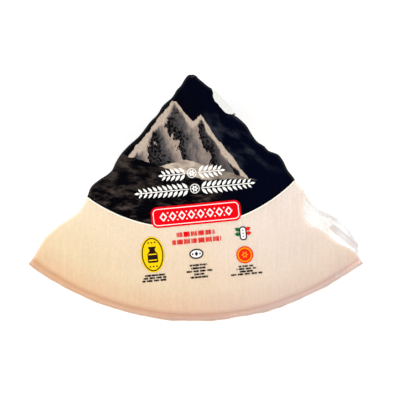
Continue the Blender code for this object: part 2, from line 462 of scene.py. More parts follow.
def edges_of(faces):
    """Each edge of a triangle mesh once, and for each face the numbers of its three edges."""
    pairs = np.sort(sides_of(faces), axis=1)
    edges, numbers = np.unique(pairs, axis=0, return_inverse=True)
    return edges, numbers.reshape(3, -1).T


def ridges(places, faces, normals):
    """How far each point of a triangle mesh stands out from its neighbours: from -1 to 1."""
    edges, _ = edges_of(faces)
    total, count = np.zeros(len(places)), np.zeros(len(places))
    for here, there in (edges.T, edges[:, ::-1].T):
        rise = (places[here] - places[there]) * normals[here]
        np.add.at(total, here, rise.sum(axis=1))
        np.add.at(count, here, 1)
    return np.clip(total / count / RIDGE_HEIGHT, -1, 1)


def even_out(vectors, faces, passes):
    """Directions, evened out over neighbouring points."""
    edges, _ = edges_of(faces)
    for _ in range(passes):
        total = vectors.copy()
        np.add.at(total, edges[:, 0], vectors[edges[:, 1]])
        np.add.at(total, edges[:, 1], vectors[edges[:, 0]])
        vectors = unit(total)
    return vectors


def divide(faces, *columns):
    """Cuts each triangle into four, and reads each column of point values at the new points."""
    edges, numbers = edges_of(faces)
    first = len(columns[0])
    grown = [np.concatenate([c, (c[edges[:, 0]] + c[edges[:, 1]]) / 2]) for c in columns]
    a, b, c = faces.T
    ab, bc, ca = (numbers + first).T
    parts = [(a, ab, ca), (ab, b, bc), (ca, bc, c), (ab, bc, ca)]
    return np.concatenate([np.stack(part, axis=1) for part in parts]), *grown


def trim(faces, field, values, snap=0.00008):
    """Keeps the part of a triangle mesh where field is above 0, cut on its zero line."""
    field = np.where(np.abs(field) < snap, 0.0, field)
    rows = [*map(tuple, values)]
    cuts = {}

    def crossing(inner, outer):
        """The new point on an edge from inside to outside."""
        if field[outer] == 0:
            return outer
        key = (inner, outer)
        if key not in cuts:
            share = field[inner] / (field[inner] - field[outer])
            cuts[key] = len(rows)
            rows.append(tuple(values[inner] + (values[outer] - values[inner]) * share))
        return cuts[key]

    kept = []
    for face in faces[(field[faces] > 0).any(axis=1)]:
        outline = []
        for here, there in zip(face, np.roll(face, -1)):
            if field[here] > 0:
                outline.append(int(here))
            if (field[here] > 0) != (field[there] > 0):
                pair = (here, there) if field[here] > 0 else (there, here)
                outline.append(int(crossing(*pair)))
        corners = list(dict.fromkeys(outline))
        kept += [(corners[0], *corners[i : i + 2]) for i in range(1, len(corners) - 1)]
    used, numbers = np.unique(np.array(kept), return_inverse=True)
    return numbers.reshape(-1, 3), np.array(rows)[used]


def close_layers(upper, lower, faces):
    """A closed solid of two layers of the same points, whose upper faces are given."""
    known = {tuple(pair) for pair in sides_of(faces).tolist()}
    here, there = np.array(sorted(pair for pair in known if pair[::-1] not in known)).T
    count = len(upper)
    sides = [
        np.stack([there, here, here + count], axis=1),
        np.stack([there, here + count, there + count], axis=1),
    ]
    return np.concatenate([upper, lower]), np.concatenate([faces, faces[:, ::-1] + count, *sides])


def make_mesh(name, places, faces, **attributes):
    """A mesh object of triangles, smooth but for its sharp edges, with its point attributes."""
    data = bpy.data.meshes.new(name)
    data.from_pydata(places.tolist(), [], faces.tolist())
    for key, values in attributes.items():
        kind = "FLOAT_VECTOR" if values.ndim == 2 else "FLOAT"
        slot = data.attributes.new(key, kind, "POINT")
        slot.data.foreach_set("vector" if values.ndim == 2 else "value", values.ravel())
    return bpy.data.objects.new(name, data)


def object_of(mesh, name):
    """An object of what a bmesh holds; the bmesh is freed."""
    data = bpy.data.meshes.new(name)
    mesh.to_mesh(data)
    mesh.free()
    return bpy.data.objects.new(name, data)


def link(made):
    """Puts an object in the scene, unless it is there already."""
    shown = bpy.context.scene.collection.objects
    if made.name not in shown:
        shown.link(made)
    return made


def finish_piece(made, material=None, sharp=math.radians(40)):
    """Moves a piece to where the frame holds the pack, and says what it rides on."""
    link(made)
    made.data.transform(SHIFT_MATRIX)
    made.data.shade_smooth()
    made.data.set_sharp_from_angle(angle=sharp)
    if material is not None:
        made.data.materials.append(material)
    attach(made, BODY)
    return made


SKIN = Skin()
# From the wheel's own axes to where the frame holds the pack.
SHIFT = Vector((LOW.x + HIGH.x, LOW.y + HIGH.y, 0)) / 2
SHIFT -= Vector((*(SKIN.places.min(0) + SKIN.places.max(0))[:2], 0)) / 2
SHIFT_MATRIX = Matrix.Translation(SHIFT)


# Node trees --------------------------------------------------------------------------------


def math_sign(operation, swapped=False):
    """A method that adds one Math node on the value, and on another number if there is one."""

    def method(value, *others):
        return value.math(operation, *((*others, value) if swapped else (value, *others)))

    return method


class Value:
    """A number in a node tree, on which Python's own signs add Math nodes."""

    def __init__(self, graph, socket):
        self.graph = graph
        self.socket = socket

    def math(self, operation, *numbers):
        """One Math node, as a new value."""
        made = self.graph.node("ShaderNodeMath", {"operation": operation}, dict(enumerate(numbers)))
        return Value(self.graph, made.outputs[0])

    __add__ = __radd__ = math_sign("ADD")
    __mul__ = __rmul__ = math_sign("MULTIPLY")
    __sub__ = math_sign("SUBTRACT")
    __rsub__ = math_sign("SUBTRACT", swapped=True)
    __truediv__ = math_sign("DIVIDE")
    __pow__ = math_sign("POWER")
    least = math_sign("MINIMUM")
    most = math_sign("MAXIMUM")
    size = math_sign("ABSOLUTE")
    root = math_sign("SQRT")
    rounded = math_sign("ROUND")
    part = math_sign("FRACT")
    below = math_sign("LESS_THAN")

    def rise(self, low, high):
        """Runs smoothly from 0 to 1 as the number goes from low to high."""
        sockets = {"Value": self, "From Min": low, "From Max": high}
        made = self.graph.node("ShaderNodeMapRange", {"interpolation_type": "SMOOTHSTEP"}, sockets)
        return Value(self.graph, made.outputs[0])

    def line(self, middle, half):
        """1 on a line where the number is middle, and 0 from half its width away."""
        return 1 - (self - middle).size().rise(0, half)


class Graph:
    """Adds nodes to a material, a world or a group."""

    def __init__(self, tree):
        self.tree = tree

    def node(self, kind, settings=None, sockets=None):
        """A node of any kind: its settings are set first, then its sockets' values and links."""
        made = self.tree.nodes.new(kind)
        for name, value in (settings or {}).items():
            if name == "stops":
                self.set_stops(made.color_ramp, value)
            else:
                setattr(made, name, value)
        for key, value in (sockets or {}).items():
            self.feed(made.inputs[key], value)
        return made

    def feed(self, target, value):
        """Links a socket to another, or sets its value."""
        if isinstance(value, Value):
            value = value.socket
        if isinstance(value, bpy.types.NodeSocket):
            self.tree.links.new(value, target)
        elif target.type == "RGBA":
            target.default_value = (*value[:3], 1.0)
        else:
            target.default_value = value

    @staticmethod
    def set_stops(ramp, stops):
        """Gives a colour ramp its (place, colour) stops."""
        while len(ramp.elements) < len(stops):
            ramp.elements.new(0.5)
        for element, (place, colour) in zip(ramp.elements, stops):
            element.position = place
            element.color = (*colour, 1.0)

    def vector(self, operation, first, second):
        """One Vector Math node on two vectors."""
        sockets = {0: first, 1: second}
        return self.node("ShaderNodeVectorMath", {"operation": operation}, sockets).outputs[0]

    def split(self, vector):
        """The three numbers of a vector."""
        made = self.node("ShaderNodeSeparateXYZ", None, {0: vector})
        return [Value(self, socket) for socket in made.outputs]

    def join(self, x, y, z=0.0):
        """A vector of three numbers."""
        return self.node("ShaderNodeCombineXYZ", None, {0: x, 1: y, 2: z}).outputs[0]

    def noise(self, place, size, detail=2.0, roughness=0.5):
        """Cloudy noise from 0 to 1, whose features are about as large as size."""
        sockets = {"Vector": place, "Scale": 1 / size, "Detail": detail, "Roughness": roughness}
        return Value(self, self.node("ShaderNodeTexNoise", None, sockets).outputs[0])

    def streaks(self, place, shares, size, detail=2.0, roughness=0.5):
        """Noise that is drawn out along the axes whose share is below 1."""
        return self.noise(self.vector("MULTIPLY", place, shares), size, detail, roughness)

    def cells(self, place, size):
        """How far a place is from the middle of its cell, in cells of about that size."""
        sockets = {"Vector": place, "Scale": 1 / size}
        return Value(self, self.node("ShaderNodeTexVoronoi", None, sockets).outputs["Distance"])

    def mix(self, share, first, second, blend="MIX"):
        """A colour between two others."""
        settings = {"data_type": "RGBA", "blend_type": blend}
        return self.node("ShaderNodeMix", settings, {0: share, 6: first, 7: second}).outputs[2]

    def ramp(self, value, stops):
        """A colour read from a row of (place, colour) stops."""
        return self.node("ShaderNodeValToRGB", {"stops": stops}, {0: value}).outputs[0]

    def tint(self, colour, value):
        """A colour made lighter or darker by a number round 1."""
        grey = self.join(value, value, value)
        return self.mix(1.0, colour, grey, "MULTIPLY")

    def bump(self, height, distance, strength=1.0):
        """The way that a surface faces with a relief of that depth on it."""
        sockets = {"Height": height, "Distance": distance, "Strength": strength}
        return self.node("ShaderNodeBump", None, sockets).outputs[0]


class Paint(Graph):
    """A material under construction."""

    def __init__(self, name):
        self.material = bpy.data.materials.new(name)
        self.material.use_nodes = True
        self.material.node_tree.nodes.clear()
        super().__init__(self.material.node_tree)

    def place(self):
        """The place in the wheel's own axes, whatever the frame does."""
        seen = self.node("ShaderNodeTexCoord").outputs["Object"]
        return self.vector("SUBTRACT", seen, tuple(SHIFT))

    def attribute(self, name):
        """A number that each point of the piece's mesh knows."""
        made = self.node("ShaderNodeAttribute", {"attribute_name": name})
        return Value(self, made.outputs["Fac"])

    def principled(self, **sockets):
        """A Principled BSDF, whose sockets are named with lines for spaces."""
        named = {key.replace("_", " ").title(): value for key, value in sockets.items()}
        named = {key.replace("Ior", "IOR"): value for key, value in named.items()}
        return self.node("ShaderNodeBsdfPrincipled", None, named).outputs[0]

    def done(self, shader):
        """Sends a shader to the material's output."""
        self.node("ShaderNodeOutputMaterial", None, {"Surface": shader})
        return self.material


class Growth(Graph):
    """A Geometry Nodes tree under construction, with named inputs."""

    def __init__(self, name, **inputs):
        """Each kind of input comes with the names of its inputs; a material is always one."""
        self.group = bpy.data.node_groups.new(name, "GeometryNodeTree")
        super().__init__(self.group)
        self.keys = {}
        add = self.group.interface.new_socket
        for kind, labels in (inputs | {"Material": "material"}).items():
            for label in labels.split():
                made = add(label.title(), in_out="INPUT", socket_type="NodeSocket" + kind)
                self.keys[label] = made.identifier
        add("Geometry", in_out="OUTPUT", socket_type="NodeSocketGeometry")
        self.entry = self.node("NodeGroupInput")

    def input(self, label):
        """One of the tree's own inputs."""
        return self.entry.outputs[label.title()]

    def numbers(self):
        """The tree's own inputs that are numbers, in the order in which they were named."""
        return [Value(self, made) for made in self.entry.outputs if made.type in ("VALUE", "INT")]

    def shape(self, label):
        """The mesh of an object that is one of the tree's own inputs."""
        return self.node("GeometryNodeObjectInfo", None, {0: self.input(label)}).outputs["Geometry"]

    def index(self):
        """The number of each point."""
        return Value(self, self.node("GeometryNodeInputIndex").outputs[0])

    def chance(self, low, high, seed):
        """A number drawn at random for each point."""
        sockets = {2: low, 3: high, "Seed": seed}
        made = self.node("FunctionNodeRandomValue", {"data_type": "FLOAT"}, sockets)
        return Value(self, made.outputs[1])

    def line(self, count, start, step):
        """Points in a line: how many, where the first one lies and the step to the next."""
        sockets = {"Count": count, 2: start, 3: step}
        return self.node("GeometryNodeMeshLine", None, sockets).outputs[0]

    def put(self, shape, points, rotation, scale):
        """A shape put at each point."""
        sockets = {"Points": points, "Instance": shape, "Rotation": rotation, "Scale": scale}
        return self.node("GeometryNodeInstanceOnPoints", None, sockets).outputs[0]

    def done(self, geometry):
        """Makes the result real, and gives it its material."""
        real = self.node("GeometryNodeRealizeInstances", None, {0: geometry}).outputs[0]
        sockets = {"Geometry": real, "Material": self.input("material")}
        painted = self.node("GeometryNodeSetMaterial", None, sockets).outputs[0]
        self.node("NodeGroupOutput", None, {0: painted})
        return self

    def grow(self, name, **values):
        """Runs the tree once, and returns what it makes as an object with a plain mesh."""
        carrier = link(bpy.data.objects.new(name, bpy.data.meshes.new(name + "_seed")))
        modifier = carrier.modifiers.new(name, "NODES")
        modifier.node_group = self.group
        for label, value in values.items():
            modifier[self.keys[label]] = value
        evaluated = carrier.evaluated_get(bpy.context.evaluated_depsgraph_get())
        mesh = bpy.data.meshes.new_from_object(evaluated)
        mesh.materials.clear()
        mesh.materials.append(values["material"])
        carrier.modifiers.remove(modifier)
        carrier.data = mesh
        return carrier


# The cheese --------------------------------------------------------------------------------

FLAKE_SIZE = 0.0075
CRUMB_SIZE = 0.0028
PIT_SIZE = 0.006
FILM_GAP = 0.0002
CRUST = 0.005
# How far from a split side the light that comes through it makes the paste pale.
PALE_WIDTH = 0.011
# How often the way into the cheese is evened out, so that deep flakes don't cross.
INWARDS_PASSES = 8
# How large the patterns are in the paste, on its cut face, between flakes and at the crust.
CLOUDS = 0.022
GRAIN = 0.0016
SAWN = 0.0011
FACE_GRAINS = 0.0021
GRANULES = 0.0026
SPECKS = 0.0042
CRUST_RAGS = 0.008
CRUST_MOTTLE = 0.006
# The same on the rind, which is brushed and scored along the wheel's rim.
WEATHERING = 0.020
BRUSHING = 0.0011
SCORES = 0.004
PORES = 0.0048
# Where colours change, from and to: inside the rind, below the cut face, and towards +X.
WARM_ZONE = (0.012, 0.075)
DRY_ZONE = (CRUST, 0.028)
CRUST_ZONE = (CRUST, CRUST + 0.0044)
# Painted shade: how far inside the rind's outer face the crust darkens, from and to.
RIM_EDGE_SHADE = (0.0, 0.0042)
RIND_ZONE = (0.0002, 0.0022)
RIND_BELOW = (0.001, 0.008)
# Painted shade: how far below the cut face the paste darkens over its rounded edges, from and to.
FACE_EDGE_SHADE = (0.0010, 0.0024)
CRUST_TIP = (0.110, 0.127)
# The darker line between paste and crust: how far inside, and half its width.
CRUST_LINE = (CRUST + 0.0004, 0.0010)
# How deep the relief that is only painted on the cheese is.
RELIEF = 0.0010
# The crystals: the range of their widths and depths, their height, how far each may turn about
# its axes in radians, how large their own clouds are, and the seed that scatters them.
CRYSTAL_WIDTHS = (0.5, 1.5)
CRYSTAL_DEPTHS = (0.4, 1.0)
CRYSTAL_HEIGHT = 0.45
CRYSTAL_TURNS = (0.2, 0.2, 6.28)
CRYSTAL_CLOUDS = 0.0015
CRYSTAL_SEED = 11


def crag(place, look):
    """How deep the broken cheese lies under its film: flakes and, between them, crumbs."""
    _, middles = noise.voronoi(place / FLAKE_SIZE)
    flake = (1 + noise.cell(middles[0] * 7)) / 2
    crumb = min(1.0, noise.voronoi(place / CRUMB_SIZE)[0][0])
    return flake * look.flake_depth + crumb * look.crumb_depth


def build_cheese(look):
    """The wedge of cheese: the bag's inside, with the flakes and crumbs of its broken sides."""
    inwards = even_out(SKIN.normals, SKIN.faces, INWARDS_PASSES)
    columns = (SKIN.places, inwards, SKIN.rough, SKIN.ridge)
    faces, places, inwards, rough, ridge = divide(SKIN.faces, *columns)
    crags = np.array([crag(Vector(p), look) if r > 0 else 0.0 for p, r in zip(places, rough)])
    pits = np.array([look.pit_depth * noise.noise(Vector(p) / PIT_SIZE) ** 2 for p in places])
    pale = np.array([pale_edge(p) for p in places])
    depth = FILM_GAP + crags * rough + pits * (1 - rough)
    places = places - unit(inwards) * depth[:, None]
    deepest = look.flake_depth + look.crumb_depth
    shares = {"crag": crags * rough / deepest, "rough": rough, "pale": pale, "ridge": ridge}
    return make_mesh("cheese_wedge", places, faces, **shares)


def pale_edge(place):
    """1 where the cut face meets a split side, where light comes through it, and 0 inside."""
    if place[2] < CUT_HEIGHT - SPLIT_EDGE_RADIUS:
        return 0.0
    flat = Vector(place[:2])
    return 1 - smooth_step(min(LEFT.room(flat), RIGHT.room(flat)) / PALE_WIDTH)


class CheesePaint(Paint):
    """The cheese's material under construction: what its colours share, and each of them."""

    def __init__(self, look):
        super().__init__("cheese_paste_and_rind")
        self.look = look
        self.spot = self.place()
        self.x, y, z = self.split(self.spot)
        self.depth = CUT_HEIGHT - z
        bulge = (self.depth / CUT_HEIGHT) ** 2 * BULGE
        from_rim = WHEEL_RADIUS - bulge - (self.x * self.x + y * y).root()
        beside, above = ((SHOULDER_RADIUS - room).most(0) for room in (from_rim, z))
        corner = (beside * beside + above * above).root()
        self.inside = SHOULDER_RADIUS - corner + (from_rim.least(z) - SHOULDER_RADIUS).most(0)
        self.outside = (1 - self.inside.rise(*RIND_ZONE)) * self.depth.rise(*RIND_BELOW)
        self.broken = self.attribute("rough")
        self.clouds = self.noise(self.spot, CLOUDS, 3)
        self.grain = self.noise(self.spot, GRAIN, 3, 0.65)
        self.sawn = self.streaks(self.spot, (1.0, 0.03, 1.0), SAWN, 2, 0.6)
        self.granules = self.cells(self.spot, GRANULES)
        specks = 1 - self.cells(self.spot, SPECKS).rise(0.05, 0.16)
        self.speck = specks * self.clouds.rise(0.45, 0.60)

    def sideways(self, name):
        """A colour that differs from the left of the wedge to its right."""
        across = (self.x + 0.10 + (self.clouds - 0.5) * 0.04) / 0.20
        left, middle, right = (getattr(self.look, name + end) for end in ("_left", "", "_right"))
        return self.ramp(across, [(0.02, left), (0.48, middle), (0.86, right)])

    def paste(self):
        """The cut face's pale paste, which is warmer and then drier towards the rind, with painted
        shade where it rounds over the edges.
        """
        warm = 1 - self.inside.rise(*WARM_ZONE)
        paste = self.mix(warm, self.sideways("paste"), self.look.warmth, "MULTIPLY")
        paste = self.mix(1 - self.inside.rise(*DRY_ZONE), paste, self.sideways("dry"))
        grains = self.cells(self.spot, FACE_GRAINS).rise(0.15, 0.75)
        shade = self.clouds * 0.09 + self.sawn * 0.18 + grains * 0.05
        # Painted shade: the paste darkens where it rounds over the wedge's edges.
        shade = shade + self.attribute("pale") * 0.035 - self.depth.rise(*FACE_EDGE_SHADE) * 0.12
        paste = self.tint(paste, 0.853 + shade)
        return self.mix(self.speck * 0.6, paste, self.look.crystal)

    def flakes(self):
        """The broken sides, with painted shade in the gaps between flakes and crumbs and painted
        light on their ridges.
        """
        # Painted shade: deeper flakes and the gaps between crumbs take the darker colour.
        gaps = self.granules.rise(0.38, 0.66) * 0.4 + self.attribute("crag").rise(0.05, 0.95) * 0.6
        flakes = self.mix(gaps, self.look.broken, self.look.broken_shaded)
        # Painted light: ridges of the broken side are tinted lighter and hollows darker.
        ridge = self.attribute("ridge")
        flakes = self.tint(flakes, 0.84 + self.grain * 0.26 + self.clouds * 0.06 + ridge * 0.09)
        return self.mix(self.speck * 0.8, flakes, self.look.crystal)

    def crust(self):
        """The crust on the cut face and the broken sides, with painted shade close to the rind's
        outer face, and lighter at its right tip.
        """
        shade = 0.93 + self.noise(self.spot, CRUST_MOTTLE, 4) * 0.14
        # Painted shade: the crust darkens close to the rind's outer face, where the edges round
        # over.
        shade = shade - (1 - self.inside.rise(*RIM_EDGE_SHADE)) * 0.24
        shade = shade + self.x.rise(*CRUST_TIP) * 0.19
        crust = self.mix(self.broken * 0.75, self.sideways("crust"), self.look.rind)
        return self.tint(crust, shade)

    def worn(self):
        """How the rind is worn: its grain, brushing, pores and scores."""
        brushed = self.streaks(self.spot, (0.06, 0.06, 1.0), BRUSHING, 3, 0.7)
        scores = self.streaks(self.spot, (0.12, 0.12, 1.0), SCORES, 2) - 0.5
        scored = 1 - scores.size().rise(0.0, 0.02)
        pores = 1 - self.cells(self.spot, PORES).rise(0.05, 0.15)
        return self.grain * 0.55 + brushed * 0.65 - pores * 0.45 - scored * 0.22

    def rind(self, worn):
        """The wheel's golden outside."""
        weathered = self.noise(self.spot, WEATHERING, 6, 0.66).rise(0.30, 0.72)
        rind = self.mix(weathered, self.look.rind, self.look.rind_dark)
        return self.tint(rind, 0.66 + worn * 0.62)


def cheese_material(look):
    """Pale paste that darkens towards the rind, broken straw-yellow sides and a golden rind."""
    paint = CheesePaint(look)
    colour = paint.mix(paint.broken.rise(0.0, 0.5), paint.paste(), paint.flakes())
    ragged = paint.inside + (paint.noise(paint.spot, CRUST_RAGS, 3) - 0.5) * 0.0014
    colour = paint.mix(1 - ragged.rise(*CRUST_ZONE), colour, paint.crust())
    colour = paint.mix(ragged.line(*CRUST_LINE) * 0.4, colour, look.crust_line)
    worn = paint.worn()
    colour = paint.mix(paint.outside, colour, paint.rind(worn))
    crumbly = paint.grain * 0.7 - paint.granules * 0.9
    relief = crumbly * paint.broken + worn * paint.outside * 0.7 + paint.sawn * 0.10
    rough = 0.42 + paint.broken * 0.22 + paint.outside * 0.08 + (paint.grain - 0.5) * 0.12
    shader = paint.principled(
        base_color=colour, roughness=rough, normal=paint.bump(relief, RELIEF, 0.9),
        subsurface_weight=0.16, subsurface_radius=(1.0, 0.62, 0.34), subsurface_scale=0.004,
        specular_ior_level=0.2,
    )  # fmt: skip
    return paint.done(shader)


def crystal_growth():
    """Scatters small grains over the cheese, sunk into it."""
    growth = Growth("cheese_crystals", Object="cheese", Float="density size", Int="seed")
    density, size, seed = growth.numbers()
    sockets = {0: growth.shape("cheese"), "Density": density, "Seed": seed}
    spread = growth.node("GeometryNodeDistributePointsOnFaces", None, sockets)
    grain = growth.node("GeometryNodeMeshIcoSphere", None, {"Radius": 1.0, "Subdivisions": 1})
    width, depth = growth.chance(*CRYSTAL_WIDTHS, 3), growth.chance(*CRYSTAL_DEPTHS, 4)
    scale = growth.join(size * width, size * depth, size * CRYSTAL_HEIGHT)
    sockets = {0: (0, 0, 0), 1: CRYSTAL_TURNS, "Seed": 5}
    turns = growth.node("FunctionNodeRandomValue", {"data_type": "FLOAT_VECTOR"}, sockets)
    sockets = {0: spread.outputs["Rotation"], 1: turns.outputs[0]}
    rotation = growth.node("FunctionNodeRotateRotation", {"rotation_space": "LOCAL"}, sockets)
    places = spread.outputs["Points"]
    return growth.done(growth.put(grain.outputs["Mesh"], places, rotation.outputs[0], scale))


def crystal_material(look):
    """Pale, slightly glassy grains."""
    paint = Paint("cheese_crystals")
    clouds = paint.noise(paint.place(), CRYSTAL_CLOUDS)
    colour = paint.tint(look.crystal, 0.90 + clouds * 0.16)
    shader = paint.principled(base_color=colour, roughness=0.30 + clouds * 0.2)
    return paint.done(shader)


# The film ----------------------------------------------------------------------------------

FILM_THICKNESS = 0.0001
# How deep below the cut face the film has turned over the wedge's edge: from, to.
OVER_EDGE = (0.002, 0.010)
# A small blister in the film over the crust, drawn as a painted highlight: a milky ring round a
# milky spot.
BLISTER = Vector((0.1121, -0.1782))
BLISTER_RADIUS = 0.0011
BLISTER_RIM = 0.0008
# How large the film's creases are, and the slow waves where it is slack.
CREASES = 0.014
SLACK = 0.035
FILM_PALE = (0.9, 0.9, 0.9)
# The share of gloss where the film faces the eye, and how much more there is at its edges.
GLOSS_FACING = 0.03
GLOSS_GRAZING = 0.6


def build_film():
    """The clear bag, drawn tight on the cheese: an outer and an inner surface."""
    inner = SKIN.places - SKIN.normals * FILM_THICKNESS
    places = np.concatenate([SKIN.places, inner])
    faces = np.concatenate([SKIN.faces, SKIN.faces[:, ::-1] + len(SKIN.places)])
    return make_mesh("film_skin", places, faces, rough=np.concatenate([SKIN.rough, SKIN.rough]))


def see_through(paint, tint, haze, haze_colour, roughness, normal):
    """Clear film: what is behind it, with a gloss that grows towards its edges, and haze."""
    facing = Value(paint, paint.node("ShaderNodeLayerWeight", None, {"Blend": 0.5}).outputs[1])
    gloss_share = GLOSS_FACING + facing ** 5 * GLOSS_GRAZING
    clear = paint.node("ShaderNodeBsdfTransparent", None, {"Color": tint}).outputs[0]
    sockets = {"Color": (1, 1, 1), "Roughness": roughness, "Normal": normal}
    gloss = paint.node("ShaderNodeBsdfAnisotropic", None, sockets).outputs[0]
    shiny = paint.node("ShaderNodeMixShader", None, {0: gloss_share, 1: clear, 2: gloss}).outputs[0]
    milky = paint.principled(base_color=haze_colour, roughness=0.35, normal=normal)
    return paint.node("ShaderNodeMixShader", None, {0: haze, 1: shiny, 2: milky}).outputs[0]


def film_material(look):
    """Clear film with fine creases, which are many where it was drawn in over broken cheese."""
    paint = Paint("clear_film")
    place = paint.place()
    x, y, z = paint.split(place)
    down = (CUT_HEIGHT - z).rise(*OVER_EDGE)
    broken = paint.attribute("rough")
    creases = paint.streaks(place, (1.0, 1.0, 0.45), CREASES, 3)
    fold = (1 - ((creases - 0.5).size() * 14).least(1.0)) ** 3
    drawn = down * (0.30 + broken * 0.70)
    slack = paint.noise(place, SLACK)
    height = fold * drawn * 0.7 + slack * 0.3 * (0.25 + down)
    normal = paint.bump(height, look.crease_depth, 1.0)
    from_blister = ((x - BLISTER.x) ** 2 + (y - BLISTER.y) ** 2).root()
    # Painted highlight on the blister, as milky haze in a ring and a spot.
    blister = from_blister.line(BLISTER_RADIUS, BLISTER_RIM) * 0.2
    blister = blister + from_blister.line(0, BLISTER_RADIUS) * 0.2
    haze = fold * drawn * 0.16 + 0.004 + blister * (1 - down)
    shader = see_through(paint, look.tint, haze, FILM_PALE, look.gloss_roughness, normal)
    return paint.done(shader)


# The shaded pane in the web: its middle, half its size and its slope, on the right edge's own
# axes, with a crease along its outer side, which is also painted white as a highlight. A dull
# band runs inside the web's edge.
PANE_MIDDLE = (0.1790, 0.0041)
PANE_SIZE = (0.0145, 0.0027)
PANE_SLOPE = 0.16
CREASE_WIDTH = 0.0007
BAND_INSIDE = 0.0020
BAND_HALF = 0.0030
# The web's fine streaks, how far they shift the pane and the band, its painted relief and its
# milky colour.
WEB_STREAKS = 0.0030
WEB_SHIFT = 0.0012
WEB_RELIEF = 0.0006
WEB_PALE = (0.86, 0.92, 1.0)

# The web's two layers lie WEB_HALF above and below its middle. They part by WEB_GAP more where
# they are WEB_SKIN inside the cheese's edge. This closes over WEB_TENT outwards, widens inwards
# up to WEB_WIDEST, and closes over WEB_END of the web's length at either end.
WEB_COLUMNS = 150
WEB_ROWS = 64
WEB_GAP = 0.0085
WEB_TENT = 0.011
WEB_SKIN = 0.005
WEB_HALF = 0.00013
WEB_WIDEST = 1.4
WEB_END = 0.2
# Fine pleats and the crease, which fade towards the web's edge.
PLEAT = 0.00060
PLEAT_LENGTH = 0.017
PLEAT_WIDTH = 0.0048
CREASE = 0.0005
PLEAT_FADE = 0.25


def crease_offset(distance):
    """Where the crease along the pane's outer side lies, at a distance along the right edge."""
    return PANE_MIDDLE[1] + PANE_SIZE[1] + (distance - PANE_MIDDLE[0]) * PANE_SLOPE


def web_point(along, across, side):
    """A place on one layer of the web, from inside the pack (across 0) to its edge (1).

    The fourth number is how far the place lies inside the edge.
    """
    start = WEB_LINE.distances[0]
    distance = start + (WEB_LINE.distances[-1] - start) * along
    cheese = RIGHT.line.at(distance)
    edge = WEB_LINE.at(distance)
    root = min(cheese, edge) - WEB_ROOT
    offset = root + (edge - root) * across
    wave = WEB_WAVE * math.sin(2 * math.pi * (distance + offset) / WEB_WAVE_LENGTH)
    spot = Vector((distance / PLEAT_LENGTH, offset / PLEAT_WIDTH, SEED))
    pleat = noise.noise(spot) + 0.35 * noise.noise(spot * 2.3)
    from_crease = abs(offset - crease_offset(distance)) / CREASE_WIDTH
    crumpled = PLEAT * pleat + CREASE * max(0.0, 1 - from_crease)
    crumpled *= smooth_step((1 - across) / PLEAT_FADE)
    apart = min(WEB_WIDEST, max(0.0, 1 - (offset - cheese + WEB_SKIN) / WEB_TENT))
    gap = WEB_HALF + WEB_GAP * apart**2 * smooth_step(min(along, 1 - along) / WEB_END)
    flat = RIGHT.point(distance, offset)
    return (flat.x, flat.y, WEB_HEIGHT + wave + crumpled + side * gap, edge - offset)


def build_web():
    """The web where two layers of spare film lie together, open where it leaves the pack."""
    shares = [row / WEB_ROWS for row in range(WEB_ROWS + 1)]
    upper, lower = (
        np.array([
            web_point(column / WEB_COLUMNS, share, side)
            for column in range(WEB_COLUMNS + 1)
            for share in shares
        ])
        for side in (1, -1)
    )  # fmt: skip
    corners = np.arange(len(upper)).reshape(WEB_COLUMNS + 1, WEB_ROWS + 1)
    a, b = corners[:-1, :-1].ravel(), corners[:-1, 1:].ravel()
    c, d = corners[1:, 1:].ravel(), corners[1:, :-1].ravel()
    faces = np.concatenate([np.stack([a, b, c], axis=1), np.stack([a, c, d], axis=1)])
    if point_normals(upper[:, :3], faces)[:, 2].sum() < 0:
        faces = faces[:, ::-1]
    places, faces = close_layers(upper[:, :3], lower[:, :3], faces)
    return make_mesh("film_web", places, faces, margin=np.concatenate([upper, lower])[:, 3])


def web_material(look):
    """Spare film: a little milky, with milky streaks that are partly a painted highlight, one
    shaded pane, a crease beside it painted white as a highlight, and a dull band.
    """
    paint = Paint("spare_film")
    x, y, z = paint.split(paint.place())
    away_x, away_y = x - POINT.x, y - POINT.y
    along = away_x * RIGHT.along.x + away_y * RIGHT.along.y
    across = away_x * RIGHT.outwards.x + away_y * RIGHT.outwards.y
    streaks = paint.noise(paint.join(along * 0.22, across, z * 0.3), WEB_STREAKS, 3)
    shift = (streaks - 0.5) * WEB_SHIFT
    past = (along - PANE_MIDDLE[0]) / PANE_SIZE[0]
    from_middle = across + shift - PANE_MIDDLE[1] - (along - PANE_MIDDLE[0]) * PANE_SLOPE
    pane = 1 - (past ** 4 + (from_middle / PANE_SIZE[1]) ** 4).rise(0.45, 1.1)
    crease = from_middle.line(PANE_SIZE[1], CREASE_WIDTH) * (1 - past.size().rise(0.8, 1.3))
    band = (paint.attribute("margin") + shift).line(BAND_INSIDE, BAND_HALF) * (1 - pane)
    colour = paint.mix(pane.most(band * 0.5), WEB_PALE, look.web_grey)
    # Painted highlight: milky streaks lighten the film outside the pane.
    haze = 0.085 + streaks.rise(0.48, 0.66) * 0.10 * (1 - pane)
    # The crease is painted white as a highlight, beside its small fold in the web's shape.
    haze = haze + pane * 0.41 + crease * 0.45 + band * 0.22
    normal = paint.bump(streaks + crease * 0.4, WEB_RELIEF, 0.5)
    shader = see_through(paint, look.web_tint, haze, colour, look.gloss_roughness, normal)
    return paint.done(shader)


# The fold of bare film right of the point: its inner line on the right edge's own axes.
FOLD_INNER = EdgeLine((
    (16, 9), (19.3, 4.1), (23, 1.6), (29.5, -0.3), (36, -0.5), (42, 0.3), (46, 3.6), (49, 9),
))  # fmt: skip
